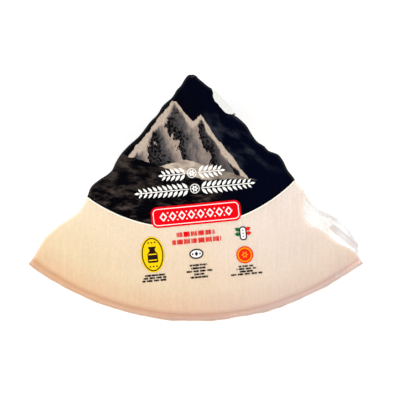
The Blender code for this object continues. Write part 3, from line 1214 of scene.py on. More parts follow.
# The line along which it spans the hollows of the cheese's edge, and its outer line: an arc
# that starts at FOLD_OUTER, rises by FOLD_REACH and runs from FOLD_START to FOLD_END.
FOLD_SPAN = EdgeLine(((16, 4.0), (22, 5.6), (32, 6.1), (38, 6.1), (45, 5.3), (50, 4.4)))
FOLD_OUTER = 0.0050
FOLD_REACH = 0.0075
FOLD_START = 0.016
FOLD_END = 0.049
OFF_FOLD = -0.01


def fold_field(unfolded):
    """Above 0 on the fold of bare film, and below 0 off it."""
    field = []
    for flat in unfolded:
        distance, offset = RIGHT.measure(Vector(flat))
        if FOLD_START < distance < FOLD_END:
            share = (distance - FOLD_START) / (FOLD_END - FOLD_START)
            outer = FOLD_OUTER + FOLD_REACH * math.sin(math.pi * share)
            field.append(min(offset - FOLD_INNER.at(distance), outer - offset))
        else:
            field.append(OFF_FOLD)
    return np.array(field)


def fold_span(unfolded):
    """How far each place of the fold stands off the skin, so that it spans the hollows."""
    moves = []
    for flat in unfolded:
        distance, offset = RIGHT.measure(Vector(flat))
        edge, inner = RIGHT.line.at(distance), FOLD_INNER.at(distance)
        gap = max(0.0, FOLD_SPAN.at(distance) - edge)
        if offset < edge:
            share = (offset - inner) / (edge - inner)
        else:
            share = 1 - (offset - edge) / FOLD_REACH
        moves.append((*(RIGHT.outwards * gap * smooth_step(share)), 0.0))
    return np.array(moves)


# How high what lies on the film stands off it: low, high.
SKIN_LIFT = (0.00002, 0.00005)


def skin_part(name, fields, move=None):
    """A thin piece that lies on the film where each of some fields is above 0."""
    faces = SKIN.faces
    unfolded, ridge = SKIN.unfolded, SKIN.ridge[:, None]
    columns = np.concatenate([unfolded, ridge, SKIN.places, SKIN.normals], axis=1)
    for field in fields:
        faces, columns = trim(faces, field(columns[:, :2]), columns)
    unfolded, ridge, places, normals = np.split(columns, (2, 3, 6), axis=1)
    if move is not None:
        places = places + move(unfolded)
    low, high = (places + unit(normals) * lift for lift in SKIN_LIFT)
    layers, faces = close_layers(high, low, faces)
    marks = np.tile(np.pad(print_axes(unfolded) / MM, ((0, 0), (0, 1))), (2, 1))
    return make_mesh(name, layers, faces, print_place=marks, ridge=np.tile(ridge.ravel(), 2))


def print_axes(flats):
    """Places on the print's own axes."""
    away = flats - np.array(PRINT_MIDDLE)
    return np.stack([away @ np.array(PRINT_RIGHT), away @ np.array(PRINT_UP)], axis=1)


# The film's print --------------------------------------------------------------------------

# The dark field is a large disc that wraps the wedge's point; the plate hides its lowest part.
FIELD_MIDDLE = np.array((-0.0005, 0.1164))
FIELD_RADIUS = 0.1264
FIELD_FLOOR = -0.0066
BORDER = 0.0011
# How deep below the cut face the picture has turned over the edge: from, to.
WRAPPED = (0.004, 0.016)
# The picture's ridge lines, in millimetres: the peak's u and v, how steeply they fall to the left
# and to the right, how ragged they are and where their noise is read.
MASSIF = (-9.0, 91.0, 1.02, 1.30, 9.0, 3.0)
SECOND_PEAK = (11.0, 77.0, 0.60, 1.62, 10.0, 31.0)
PLAIN = (-4.0, 43.5, 0.16, 0.40, 5.0, 12.0)
HILLS = (-62.0, 56.0, 0.10, 0.42, 7.0, 44.0)
FOREGROUND = (-30.0, 31.0, 0.12, 0.10, 6.0, 71.0)
# How large the patterns are in its ridge lines, rock, plain, hills, foreground and sky.
RAGS = 9.0
ROCKS = 14.0
RUBBLE = 1.9
PLAIN_CLOUDS = 5.0
HILL_CLOUDS = 8.0
GROUND_CLOUDS = 4.0
DUSK_STREAKS = 1.1
MIST = 22.0
# Ribs of lit and shaded rock in each millimetre, across and up; how far below the ridge snow
# lies; how high the mist lies; and how far inside the field's edge its black ends, from and to.
RIBS = (0.052, 0.010)
SNOW_DEPTH = 7
MIST_HEIGHT = 58
BLACK_EDGE = (0.7, 1.6)
# In metres again: how large the printed film's slow waves, its scuffs and the ink's mottle are,
# and how deep its painted relief is.
PRINT_SLACK = 0.030
SCUFFS = 0.0035
MOTTLE = 0.0018
PRINT_RELIEF = 0.0012


def field_inside(unfolded):
    """How far inside the dark field's edge a place lies."""
    marks = print_axes(unfolded)
    room = FIELD_RADIUS - np.linalg.norm(marks - FIELD_MIDDLE, axis=1)
    return np.minimum(room, marks[:, 1] - FIELD_FLOOR)


def off_fold(unfolded):
    """How far off the fold a place lies."""
    return -fold_field(unfolded)


def border_inside(unfolded):
    """How far inside the outer edge of the line round the dark field a place lies."""
    return field_inside(unfolded) + BORDER


def border_outside(unfolded):
    """How far outside the dark field a place lies."""
    return -field_inside(unfolded)


class PicturePaint(Paint):
    """The picture's material under construction, whose places are in millimetres."""

    def __init__(self, look):
        super().__init__("print_picture")
        self.look = look
        known = self.node("ShaderNodeAttribute", {"attribute_name": "print_place"})
        self.marks = known.outputs["Vector"]
        self.u, self.v, _ = self.split(self.marks)

    def below(self, peak_u, peak_v, left, right, ragged, seed):
        """How far below a ridge line a place lies."""
        fall = ((peak_u - self.u) * left).most((self.u - peak_u) * right)
        steps = self.noise(self.join(self.u, seed), RAGS, 4, 0.6) - 0.5
        return peak_v - fall + steps * ragged - self.v

    def mountain(self, below):
        """Pale rock in ribs that are lit from one side, with snow along the ridge."""
        rocks = self.streaks(self.marks, (1.0, 0.5, 1.0), ROCKS, 6, 0.6)
        lit = (self.u * RIBS[0] + self.v * RIBS[1] + (rocks - 0.5) * 1.9).part()
        rubble = self.noise(self.marks, RUBBLE, 4, 0.7)
        speckle = rubble.rise(0.44, 0.60) * (1 - lit.rise(0.2, 0.75))
        snow = (SNOW_DEPTH + (rocks - 0.5) * 30 - below).rise(-1.5, 3.0)
        tone = 0.16 + lit ** 1.4 * 0.52 + (rubble - 0.5) * 0.25 - speckle * 0.30
        tone = tone * (0.95 - (self.u / 60).rise(-0.1, 0.6) * 0.42)
        tone = tone * (1 - snow) + (0.70 + (rubble - 0.5) * 0.3) * snow
        look = self.look
        stones = [(0.06, look.picture_black), (0.36, look.picture_grey)]
        stones += [(0.62, look.picture_stone), (0.86, look.picture_pale)]
        return self.ramp(tone, stones)

    def sky(self):
        """Near-black dusk with fine upright streaks, and mist on its right."""
        u, v, look = self.u, self.v, self.look
        streaks = self.noise(self.join(u, v * 0.02, 9.0), DUSK_STREAKS, 2, 0.7)
        dusk = self.mix((u + v * 0.3).rise(-10, 62), look.picture_black, look.picture_navy)
        sky = self.tint(dusk, 0.35 + streaks * 1.5)
        mist = self.noise(self.join(u * 0.5 - v * 0.3, v + u * 0.7, 4.0), MIST, 4, 0.6)
        height = 1 - (v - MIST_HEIGHT).size().rise(12, 34)
        mist = mist.rise(0.46, 0.72) * u.rise(0, 30) * height
        return self.mix(mist * 0.48, sky, look.picture_mist)

    def plain(self):
        """The pale plain below the mountain, darker to the right."""
        place = self.join(self.u * 0.4, self.v, 2.0)
        tone = self.noise(place, PLAIN_CLOUDS, 4, 0.6).rise(0.35, 0.6)
        pale = self.mix(tone, self.look.picture_stone, self.look.picture_pale)
        return self.tint(pale, 0.85 - (self.u / 60).rise(-0.1, 0.5) * 0.5)

    def earth(self, place, size, detail, low, high):
        """Dark ground with brown clouds, whose noise is read at a place."""
        tone = self.noise(place, size, detail, 0.6).rise(low, high)
        return self.mix(tone, self.look.picture_black, self.look.picture_brown)


def picture_material(look):
    """A mountain at dusk in pale stone colours, over dark hills and a near-black sky."""
    paint = PicturePaint(look)
    u, v = paint.u, paint.v
    below = paint.below(*MASSIF).most(paint.below(*SECOND_PEAK))
    sky = paint.sky()
    picture = paint.mix(below.rise(-0.4, 0.4), sky, paint.mountain(below))
    picture = paint.mix(paint.below(*PLAIN).rise(-0.3, 0.3), picture, paint.plain())
    hills = paint.earth(paint.join(u * 0.6 + v * 0.4, v, 8.0), HILL_CLOUDS, 5, 0.42, 0.85)
    picture = paint.mix(paint.below(*HILLS).rise(-0.4, 0.4), picture, hills)
    place = paint.join(u * 0.35 - v * 0.3, v + u * 0.2, 6.0)
    ground = paint.earth(place, GROUND_CLOUDS, 4, 0.45, 0.8)
    ground = paint.mix((u / 90).rise(0.05, 0.35), ground, sky)
    picture = paint.mix(paint.below(*FOREGROUND).rise(-0.3, 1.2), picture, ground)
    across, along = u - float(FIELD_MIDDLE[0] / MM), v - float(FIELD_MIDDLE[1] / MM)
    room = FIELD_RADIUS / MM - (across * across + along * along).root()
    picture = paint.mix(1 - room.rise(*BLACK_EDGE), picture, look.picture_black)

    down = (CUT_HEIGHT - paint.split(paint.place())[2]).rise(*WRAPPED)
    # On the sides, ridges are painted lighter grey: partly the ink's stretch marks, partly a
    # painted highlight.
    stretch_and_sheen = paint.attribute("ridge").rise(-0.1, 0.9) * down
    picture = paint.mix(stretch_and_sheen * 0.30, picture, look.picture_grey)
    gloss = film_gloss(paint) | {"specular_ior_level": 0.1, "coat_roughness": 0.16}
    gloss["coat_weight"] = down * 0.06 + stretch_and_sheen * 0.34
    return paint.done(paint.principled(base_color=picture, **gloss))


def film_gloss(paint):
    """The shine of printed film, with its slow waves and fine scuffs."""
    place = paint.place()
    slack = paint.noise(place, PRINT_SLACK)
    scuffs = paint.noise(place, SCUFFS, 3, 0.6)
    normal = paint.bump(slack + scuffs * 0.12, PRINT_RELIEF, 0.6)
    return {"roughness": 0.12 + scuffs * 0.12, "normal": normal, "specular_ior_level": 0.2}


def ink_material(name, colour):
    """One printed colour, slightly uneven as ink on film is."""
    paint = Paint(name)
    mottle = paint.noise(paint.place(), MOTTLE, 3, 0.6)
    shade = paint.tint(colour, 0.94 + mottle * 0.12)
    return paint.done(paint.principled(base_color=shade, **film_gloss(paint)))


class Stencil:
    """Flat shapes on the print's own axes, in millimetres, gathered into one piece."""

    def __init__(self, low, high):
        self.low = low
        self.high = high
        self.mesh = bmesh.new()

    def corners(self, outline, height):
        """The points of an outline at a height."""
        return [self.mesh.verts.new((u, v, height)) for u, v in outline]

    def walls(self, upper, lower):
        """The faces between two heights of an outline."""
        for here, there in around(len(upper)):
            self.mesh.faces.new((lower[here], lower[there], upper[there], upper[here]))

    def fill(self, outline):
        """A solid of one outline, which runs anticlockwise."""
        upper = self.corners(outline, self.high)
        lower = self.corners(outline, self.low)
        self.walls(upper, lower)
        self.mesh.faces.new(upper)
        self.mesh.faces.new(reversed(lower))

    def ring(self, outer, inner):
        """A solid between two outlines that have the same number of points."""
        (high_out, high_in), (low_out, low_in) = (
            (self.corners(outer, height), self.corners(inner, height))
            for height in (self.high, self.low)
        )
        self.walls(high_out, low_out)
        self.walls(high_in[::-1], low_in[::-1])
        for here, there in around(len(outer)):
            self.mesh.faces.new((high_out[here], high_out[there], high_in[there], high_in[here]))
            self.mesh.faces.new((low_out[there], low_out[here], low_in[here], low_in[there]))

    def hoop(self, middle, width, height, line, count=48):
        """An oval line of that outer size, whose inner size is smaller by line."""
        inner = oval(middle, width - line, height - line, count)
        self.ring(oval(middle, width, height, count), inner)

    def dot(self, middle, width, height=None, count=14):
        """A small round or oval spot."""
        self.fill(oval(middle, width, height or width, count))

    def flower(self, middle, start, length, width):
        """Petals round a middle, from a little way off it."""
        for step in range(PETALS):
            lean = 2 * math.pi * step / PETALS
            base = (middle[0] + start * math.cos(lean), middle[1] + start * math.sin(lean))
            self.fill(leaf(base, length, width, lean))

    def take(self, made, place):
        """Takes in the mesh of an object, moved to a place, and removes the object."""
        made.data.transform(Matrix.Translation((*place, 0)))
        self.mesh.from_mesh(made.data)
        bpy.data.objects.remove(made)

    def lay(self, name, material):
        """Lays the shapes on the film over the cut face."""
        spans = [[vertex.co[axis] for vertex in self.mesh.verts] for axis in (0, 1)]
        for axis, span in enumerate(spans):
            normal = Vector((axis == 0, axis == 1, 0))
            for step in range(math.ceil(min(span) / LAY_STEP), math.ceil(max(span) / LAY_STEP)):
                everything = self.mesh.verts[:] + self.mesh.edges[:] + self.mesh.faces[:]
                cut = normal * step * LAY_STEP
                bmesh.ops.bisect_plane(
                    self.mesh, geom=everything, plane_co=cut, plane_no=normal, dist=1e-4
                )
        bmesh.ops.triangulate(self.mesh, faces=self.mesh.faces[:])
        for vertex in self.mesh.verts:
            u, v, height = vertex.co
            flat = PRINT_MIDDLE + (PRINT_RIGHT * u + PRINT_UP * v) * MM
            vertex.co = (flat.x, flat.y, face_height(flat) + height * MM)
        return finish_piece(object_of(self.mesh, name), material)


def oval(middle, width, height, count=48, waves=0, wave=0.0):
    """An oval outline, whose edge may be scalloped."""
    outline = []
    for step in range(count):
        turn = 2 * math.pi * step / count
        swell = 1 + wave * math.cos(waves * turn)
        u = middle[0] + width / 2 * swell * math.cos(turn)
        outline.append((u, middle[1] + height / 2 * swell * math.sin(turn)))
    return outline


def plate(middle, width, height, radius, steps=8):
    """A rectangle with round corners."""
    outline = []
    for corner, (right, up) in enumerate(((1, 1), (-1, 1), (-1, -1), (1, -1))):
        centre_u = middle[0] + right * (width / 2 - radius)
        centre_v = middle[1] + up * (height / 2 - radius)
        for step in range(steps + 1):
            turn = math.pi / 2 * (corner + step / steps)
            outline.append((centre_u + radius * math.cos(turn), centre_v + radius * math.sin(turn)))
    return outline


def lozenge(middle, half_width, half_height):
    """A rectangle that stands on a corner."""
    u, v = middle
    return [(u + half_width, v), (u, v + half_height), (u - half_width, v), (u, v - half_height)]


def leaf(base, length, width, lean, steps=5):
    """A pointed leaf that grows from its base, leaning from the u axis."""
    along = Vector((math.cos(lean), math.sin(lean)))
    side = Vector((-along.y, along.x))
    shares = [step / steps for step in range(steps + 1)]
    bulges = [math.sin(math.pi * share**0.8) * width / 2 for share in shares]
    lower = [Vector(base) + along * length * s - side * b for s, b in zip(shares, bulges)]
    upper = [Vector(base) + along * length * s + side * b for s, b in zip(shares, bulges)]
    return [tuple(point) for point in (*lower, *reversed(upper[1:-1]))]


# All sizes of the print are in millimetres. How high its layers lie above the film: low, high.
FIRST_LAYER = (0.02, 0.06)
SECOND_LAYER = (0.07, 0.11)
THIRD_LAYER = (0.12, 0.16)
# How far apart the shapes are cut, so that they follow the cut face.
LAY_STEP = 3.0
PETALS = 6

# Two garlands take the place of a heading: middle u, middle v, length, leaf pairs on a side.
GARLANDS = ((-0.3, 32.5, 52.0, 5), (1.0, 20.1, 94.6, 10))
GARLAND_GAP = 5.0
# Leaves start LEAF_START off the stem and are smaller towards its ends, by LEAF_TAPER at most.
# LAST_PAIR is how far the pairs stay from the end, in leaves, and END_LEAF the size of the leaf
# there: along, across and up.
LEAF_START = 0.9
LEAF_LENGTH = 6.2
LEAF_WIDTH = 2.3
LEAF_LEAN = math.radians(48)
LEAF_TAPER = 0.38
END_LEAF = (0.62, 0.8, 1.0)
LAST_PAIR = 0.3
STEM_WIDTH = 0.7
STEM_STEPS = 24
# The hoop's outer size and line, and its petals' start, length and width.
ROSETTE_HOOP = (7.6, 1.2)
ROSETTE_PETAL = (0.5, 2.4, 1.4)

# The plate, with a line inside its edge: how far it takes off the plate's size and radius.
PLATE_WIDTH = 71.0
PLATE_HEIGHT = 16.4
PLATE_RADIUS = 5.0
PLATE_LINE = ((3.0, 1.4), (4.2, 2.0))
BRAID_COUNT = 8
BRAID_STEP = 7.4
LOZENGE = (3.0, 3.7)
HOLLOW = (1.7, 2.1)
BRAID_DOT = 1.2
BRAID_DOTS_HIGH = 2.9

# Rows of small strokes: middle u, middle v, spacing, height, and the rows' widths.
RED_ROWS = ((-1.6, -18.0, 5.7, 4.1, (30.7, 38.7)),)
DARK_ROWS = (
    (-37.1, -47.1, 2.1, 1.50, (15.3, 18.0, 20.0)),
    (-1.9, -45.0, 2.4, 1.50, (13.8, 12.0, 20.9, 8.0, 14.3)),
    (35.2, -47.7, 2.05, 1.45, (11.3, 14.9, 11.3, 24.5)),
)
# A stroke's width, the pitch of the strokes, and how many make a group.
RED_STROKE = (0.70, 0.95, 6)
DARK_STROKE = (0.56, 0.60, 9)
# The range of the strokes' widths and heights, the share of each group that is left out, and
# by how many strokes the groups are shifted in each next row.
STROKE_WIDTHS = (0.65, 1.35)
STROKE_HEIGHTS = (0.80, 1.0)
GROUP_BREAK = 0.16
GROUP_SHIFT = 1.7

# The badge: middle u, middle v, width, height; how far inside its line begins, the line's width
# and the six dots: how far apart, how far from the middle and how wide.
BADGE = (-37.2, -28.6, 19.0, 28.4)
BADGE_LINE = (2.0, 1.8)
BADGE_DOTS = (2.6, 9.4, 1.3)
# The right half of its churn, from its foot to its rim; the bands on it: how high each lies,
# and their width, height and corner radius.
CHURN = ((3.6, -6.4), (4.0, -5.6), (4.0, 0.4), (2.2, 3.0), (2.2, 4.4), (3.0, 5.2), (3.0, 6.2))
CHURN_BANDS = (-4.4, 0.2)
CHURN_BAND = (6.4, 0.9, 0.3)

# The ring mark: middle u, middle v, width, height; its line, its lozenge and its dots: how far
# from the middle, width and height.
RING_MARK = (-2.7, -31.3, 11.3, 8.0)
RING_LINE = 2.3
RING_LOZENGE = (1.5, 1.9)
RING_DOTS = (2.9, 1.4, 1.6)

# The emblem's middle, and the width, height and corner radius of its ground and of its line,
# outside and inside. How high its dots lie, and their size. How high its pairs of leaves lie and
# how far they lean, in degrees, where they start, and their length and width.
EMBLEM = (35.5, -18.7)
EMBLEM_GROUND = (5.2, 10.4, 2.2)
EMBLEM_LINE = ((5.8, 11.0, 2.6), (3.8, 9.0, 1.6))
EMBLEM_DOTS = (2.4, 0, -2.4)
EMBLEM_DOT = 1.1
EMBLEM_LEAVES = ((2.4, 28), (-0.6, 8))
EMBLEM_LEAF_START = 2.4
EMBLEM_LEAF = (4.3, 3.2)

# The seal: middle u, middle v, width; how its edge waves, how far inside its hoop begins, the
# hoop's line, and its petals' start, length and width.
SEAL = (35.2, -35.7, 13.5)
SEAL_WAVES = {"waves": 18, "wave": 0.02}
SEAL_HOOP = (1.8, 2.2)
SEAL_PETAL = (0.6, 2.3, 1.2)


def garland_growth():
    """A stem with pairs of leaves that lean away from its middle, and a leaf at each end."""
    growth = Growth("garland", Object="leaf", Float="length lean low high gap", Int="pairs")
    length, lean, low, high, gap, pairs = growth.numbers()
    middle, thick = (low + high) / 2, high - low
    shape = growth.shape("leaf")
    far = growth.index() / pairs
    scale = 1 - far * far * LEAF_TAPER
    parts = []
    for hand in (1, -1):
        start = growth.join(gap * hand, 0.0, middle)
        reach = length / 2 - gap - LEAF_LENGTH * LAST_PAIR
        step = growth.join(reach * hand / pairs, 0.0, 0.0)
        line = growth.line(pairs, start, step)
        for side in (1, -1):
            turn = lean * side if hand > 0 else math.pi - lean * side
            turned = growth.join(0.0, 0.0, turn)
            parts.append(growth.put(shape, line, turned, growth.join(scale, scale, 1.0)))
        end = growth.join((length / 2 - LEAF_LENGTH * END_LEAF[0]) * hand, 0.0, middle)
        place = growth.node("GeometryNodePoints", None, {"Count": 1, "Position": end}).outputs[0]
        turned = growth.join(0.0, 0.0, 0.0 if hand > 0 else math.pi)
        parts.append(growth.put(shape, place, turned, END_LEAF))
        half = (length / 2 - gap) / 2
        sockets = {"Size": growth.join(half * 2, STEM_WIDTH, thick), "Vertices X": STEM_STEPS}
        stem = growth.node("GeometryNodeMeshCube", None, sockets).outputs[0]
        sockets = {0: stem, "Translation": growth.join((gap + half) * hand, 0.0, middle)}
        parts.append(growth.node("GeometryNodeTransform", None, sockets).outputs[0])
    together = growth.node("GeometryNodeJoinGeometry")
    for part in parts:
        growth.tree.links.new(part, together.inputs[0])
    return growth.done(together.outputs[0])


def row_growth():
    """A row of small upright strokes in groups, as print too small to read looks."""
    growth = Growth("print_row", Float="width height pitch stroke group low high", Int="seed")
    width, height, pitch, stroke, group, low, high, seed = growth.numbers()
    start = growth.join((width - pitch) / -2, 0.0, (low + high) / 2)
    line = growth.line((width / pitch).rounded(), start, growth.join(pitch, 0.0))
    group_place = (growth.index() + seed * GROUP_SHIFT) / group
    sockets = {0: line, "Selection": group_place.part().below(GROUP_BREAK)}
    kept = growth.node("GeometryNodeDeleteGeometry", {"domain": "POINT"}, sockets).outputs[0]
    wide, tall = growth.chance(*STROKE_WIDTHS, seed), growth.chance(*STROKE_HEIGHTS, seed)
    scale = growth.join(stroke * wide, height * tall, high - low)
    box = growth.node("GeometryNodeMeshCube", None, {"Size": (1.0, 1.0, 1.0)}).outputs[0]
    return growth.done(growth.put(box, kept, growth.join(0.0, 0.0), scale))


def lay_garlands(look):
    """The two white garlands on the dark field, each with a rosette in its middle."""
    material = ink_material("print_white", look.white)
    low, high = SECOND_LAYER
    single = Stencil(low, high)
    single.fill(leaf((LEAF_START, 0), LEAF_LENGTH, LEAF_WIDTH, 0.0))
    shape = link(object_of(single.mesh, "leaf_shape"))
    values = {"leaf": shape, "lean": LEAF_LEAN, "gap": GARLAND_GAP, "low": low, "high": high}
    stencil = Stencil(low, high)
    growth = garland_growth()
    size, line = ROSETTE_HOOP
    for u, v, length, pairs in GARLANDS:
        values |= {"length": length, "pairs": pairs, "material": material}
        stencil.take(growth.grow("garland", **values), (u, v))
        stencil.hoop((u, v), size, size, line)
        stencil.flower((u, v), *ROSETTE_PETAL)
    bpy.data.objects.remove(shape)
    stencil.lay("print_garlands", material)


def lay_plate(look):
    """The red plate, with a cream line inside its edge and a braid of lozenges."""
    red, cream = Stencil(*SECOND_LAYER), Stencil(*THIRD_LAYER)
    red.fill(plate((0, 0), PLATE_WIDTH, PLATE_HEIGHT, PLATE_RADIUS))
    cream.ring(*(
        plate((0, 0), PLATE_WIDTH - size, PLATE_HEIGHT - size, PLATE_RADIUS - radius)
        for size, radius in PLATE_LINE
    ))  # fmt: skip
    for step in range(BRAID_COUNT):
        u = (step - (BRAID_COUNT - 1) / 2) * BRAID_STEP
        cream.ring(lozenge((u, 0), *LOZENGE), lozenge((u, 0), *HOLLOW))
        if step < BRAID_COUNT - 1:
            for v in (BRAID_DOTS_HIGH, -BRAID_DOTS_HIGH):
                cream.dot((u + BRAID_STEP / 2, v), BRAID_DOT, count=16)
    red.lay("print_plate", ink_material("print_red", look.red))
    cream.lay("print_plate_braid", ink_material("print_cream", look.white))


def lay_rows(name, rows, stroke, colour):
    """Groups of rows of small strokes."""
    material = ink_material(name, colour)
    growth = row_growth()
    low, high = FIRST_LAYER
    stencil = Stencil(low, high)
    width, pitch, group = stroke
    values = {"stroke": width, "pitch": pitch, "group": float(group), "low": low, "high": high}
    seed = 1
    for u, v, spacing, height, widths in rows:
        for number, length in enumerate(widths):
            values |= {"width": length, "height": height, "seed": seed, "material": material}
            place = (u, v + spacing * ((len(widths) - 1) / 2 - number))
            stencil.take(growth.grow("row", **values), place)
            seed += 1
    stencil.lay(name, material)


def lay_badge(look):
    """A yellow oval badge: a churn with two bands, a line round the edge and six dots."""
    u, v, width, height = BADGE
    yellow, dark, light = (Stencil(*layer) for layer in (FIRST_LAYER, SECOND_LAYER, THIRD_LAYER))
    yellow.fill(oval((u, v), width, height, 64))
    inside, line = BADGE_LINE
    dark.hoop((u, v), width - inside, height - inside, line, 64)
    dark.fill([(u + x, v + y) for x, y in CHURN] + [(u - x, v + y) for x, y in CHURN[::-1]])
    apart, away, size = BADGE_DOTS
    for side in (1, -1):
        for step in (-1, 0, 1):
            dark.dot((u + step * apart, v + side * away), size)
    for offset in CHURN_BANDS:
        light.fill(plate((u, v + offset), *CHURN_BAND, 3))
    ground = ink_material("print_yellow", look.yellow)
    yellow.lay("print_badge", ground)
    dark.lay("print_badge_lines", ink_material("print_dark", look.dark))
    light.lay("print_badge_bands", ground)


def lay_marks(look):
    """An oval ring mark, a small sprig emblem and a round seal with a flower."""
    white, red, green = (Stencil(*FIRST_LAYER) for _ in range(3))
    dark, orange = (Stencil(*SECOND_LAYER) for _ in range(2))
    u, v, width, height = RING_MARK
    white.fill(oval((u, v), width, height))
    dark.hoop((u, v), width, height, RING_LINE)
    dark.fill(lozenge((u, v), *RING_LOZENGE))
    away, *size = RING_DOTS
    for side in (-1, 1):
        dark.dot((u + side * away, v), *size, 16)

    u, v = EMBLEM
    white.fill(plate(EMBLEM, *EMBLEM_GROUND))
    dark.ring(*(plate(EMBLEM, *sizes) for sizes in EMBLEM_LINE))
    for offset in EMBLEM_DOTS:
        dark.dot((u, v + offset), EMBLEM_DOT)
    for rise, lean in EMBLEM_LEAVES:
        left, right = ((u + side * EMBLEM_LEAF_START, v + rise) for side in (-1, 1))
        green.fill(leaf(left, *EMBLEM_LEAF, math.radians(180 - lean)))
        red.fill(leaf(right, *EMBLEM_LEAF, math.radians(lean)))

    u, v, width = SEAL
    inside, line = SEAL_HOOP
    red.fill(oval((u, v), width, width, 72, **SEAL_WAVES))
    orange.hoop((u, v), width - inside, width - inside, line)
    orange.flower((u, v), *SEAL_PETAL)
    white.lay("print_marks_ground", ink_material("print_pale", look.white))
    dark.lay("print_marks_lines", ink_material("print_grey", look.grey))
    green.lay("print_green_leaves", ink_material("print_green", look.green))
    red.lay("print_red_shapes", ink_material("print_warm_red", look.seal_red))
    orange.lay("print_seal_lines", ink_material("print_orange", look.orange))


# Stage -------------------------------------------------------------------------------------

# The photograph looks straight down on this place, in the wheel's axes, and is this wide.
VIEW_MIDDLE = Vector((0.00402, -0.11909))
VIEW_WIDTH = 0.3155
VIEW_HEIGHT = 1.6
SENSOR = 36.0
# How bright the studio is from its horizon (0) to overhead (1), where it is dim.
STUDIO_LEVELS = (
    (0.0, 0.95), (0.12, 0.92), (0.30, 0.70), (0.55, 1.2), (0.78, 1.3), (0.86, 0.3), (0.90, 0.03),
)  # fmt: skip
# Name, direction and height in degrees, width and power.
LAMPS = (
    ("lamp_left", -70, 42, 0.40, 4.6), ("lamp_right", 60, 48, 0.45, 2.8),
    ("lamp_back", 170, 40, 0.45, 2.8),
)  # fmt: skip
LAMP_DISTANCE = 1.5


def set_camera():
    """A camera that looks straight down at the cut face, as the photograph does."""
    data = bpy.data.cameras.new("camera")
    data.sensor_width = SENSOR
    data.lens = SENSOR * VIEW_HEIGHT / VIEW_WIDTH
    data.dof.use_dof = False
    camera = link(bpy.data.objects.new("camera", data))
    middle = VIEW_MIDDLE + SHIFT.xy
    camera.location = (middle.x, middle.y, CUT_HEIGHT + VIEW_HEIGHT)
    bpy.context.scene.camera = camera


def set_floor(look):
    """A wide pale floor."""
    mesh = bmesh.new()
    bmesh.ops.create_circle(mesh, cap_ends=True, segments=64, radius=look.floor_radius)
    floor = link(object_of(mesh, "floor"))
    paint = Paint("floor")
    clouds = paint.noise(paint.place(), 0.4, 2)
    shade = paint.tint(look.floor_colour, 0.99 + clouds * 0.02)
    sockets = {"base_color": shade, "roughness": 0.9, "emission_color": (1, 1, 1)}
    shader = paint.principled(emission_strength=look.floor_glow, specular_ior_level=0.0, **sockets)
    floor.data.materials.append(paint.done(shader))


def set_world(look):
    """A pale studio, dim overhead so that the film doesn't mirror light at the camera."""
    world = bpy.data.worlds.new("studio")
    world.use_nodes = True
    world.node_tree.nodes.clear()
    bpy.context.scene.world = world
    graph = Graph(world.node_tree)
    direction = graph.node("ShaderNodeTexCoord").outputs["Generated"]
    up = graph.split(direction)[2]
    light = graph.ramp(up, [(place, (level, level, level)) for place, level in STUDIO_LEVELS])
    sockets = {"Color": light, "Strength": look.world_strength}
    ground = graph.node("ShaderNodeBackground", None, sockets).outputs[0]
    graph.node("ShaderNodeOutputWorld", None, {"Surface": ground})


def set_lamp(name, turn, tilt, size, power):
    """A square soft lamp that looks at the pack from a direction and a height."""
    data = bpy.data.lights.new(name, "AREA")
    data.shape = "SQUARE"
    data.size = size
    data.energy = power
    lamp = link(bpy.data.objects.new(name, data))
    turn, tilt = math.radians(turn), math.radians(tilt)
    flat = math.cos(tilt)
    away = Vector((flat * math.sin(turn), -flat * math.cos(turn), math.sin(tilt)))
    lamp.location = away * LAMP_DISTANCE
    lamp.rotation_euler = away.to_track_quat("Z", "Y").to_euler()


# Settings, operators and panel -------------------------------------------------------------


def colour_setting(label, told, *shades):
    """A colour that a user can change."""
    kind = {"subtype": "COLOR", "size": 3, "min": 0.0, "max": 1.0}
    return bpy.props.FloatVectorProperty(name=label, description=told, default=ink(*shades), **kind)


def number_setting(label, told, default, **kind):
    """A number that a user can change."""
    kind = {"min": 0.0} | kind
    return bpy.props.FloatProperty(name=label, description=told, default=default, **kind)


def length_setting(label, told, default):
    """A small length that a user can change."""
    return number_setting(label, told, default, precision=5, unit="LENGTH")


class CheeseLook(bpy.types.PropertyGroup):
    """Sizes and colours of the cheese."""

    flake_depth: length_setting("Flake depth", "How far one flake lies below another", 0.0011)
    crumb_depth: length_setting("Crumb depth", "How deep the crumbs' gaps are", 0.0006)
    pit_depth: length_setting("Pit depth", "How deep the smooth faces dip", 0.0003)
    crystal_size: length_setting("Crystal size", "Half the length of a usual crystal", 0.00028)
    crystal_density: number_setting("Crystal density", "Crystals on a square metre", 16000)
    paste_left: colour_setting("Paste, left", "The cut face's left", 249, 229, 198)
    paste: colour_setting("Paste", "The cut face's middle", 246, 224, 199)
    paste_right: colour_setting("Paste, right", "The cut face's right", 243, 227, 216)
    warmth: colour_setting("Warmth", "The paste's tint towards the rind", 247, 243, 234)
    dry_left: colour_setting("Dry paste, left", "Near the crust", 238, 203, 163)
    dry: colour_setting("Dry paste", "Near the crust", 231, 195, 167)
    dry_right: colour_setting("Dry paste, right", "Near the crust", 228, 205, 188)
    crust_left: colour_setting("Crust, left", "The crust on the cut face", 227, 179, 138)
    crust: colour_setting("Crust", "The crust on the cut face", 218, 174, 149)
    crust_right: colour_setting("Crust, right", "The crust on the cut face", 218, 188, 176)
    crust_line: colour_setting("Crust line", "Between paste and crust", 205, 155, 128)
    broken: colour_setting("Broken cheese", "The split sides", 232, 205, 152)
    # Painted shade in the gaps between flakes and crumbs.
    broken_shaded: colour_setting("Broken cheese, deep", "Between flakes", 206, 166, 106)
    rind: colour_setting("Rind", "The wheel's outside", 210, 168, 106)
    rind_dark: colour_setting("Rind, dark", "The rind's darker clouds", 192, 147, 88)
    crystal: colour_setting("Crystal", "Salt-white grains", 252, 244, 228)


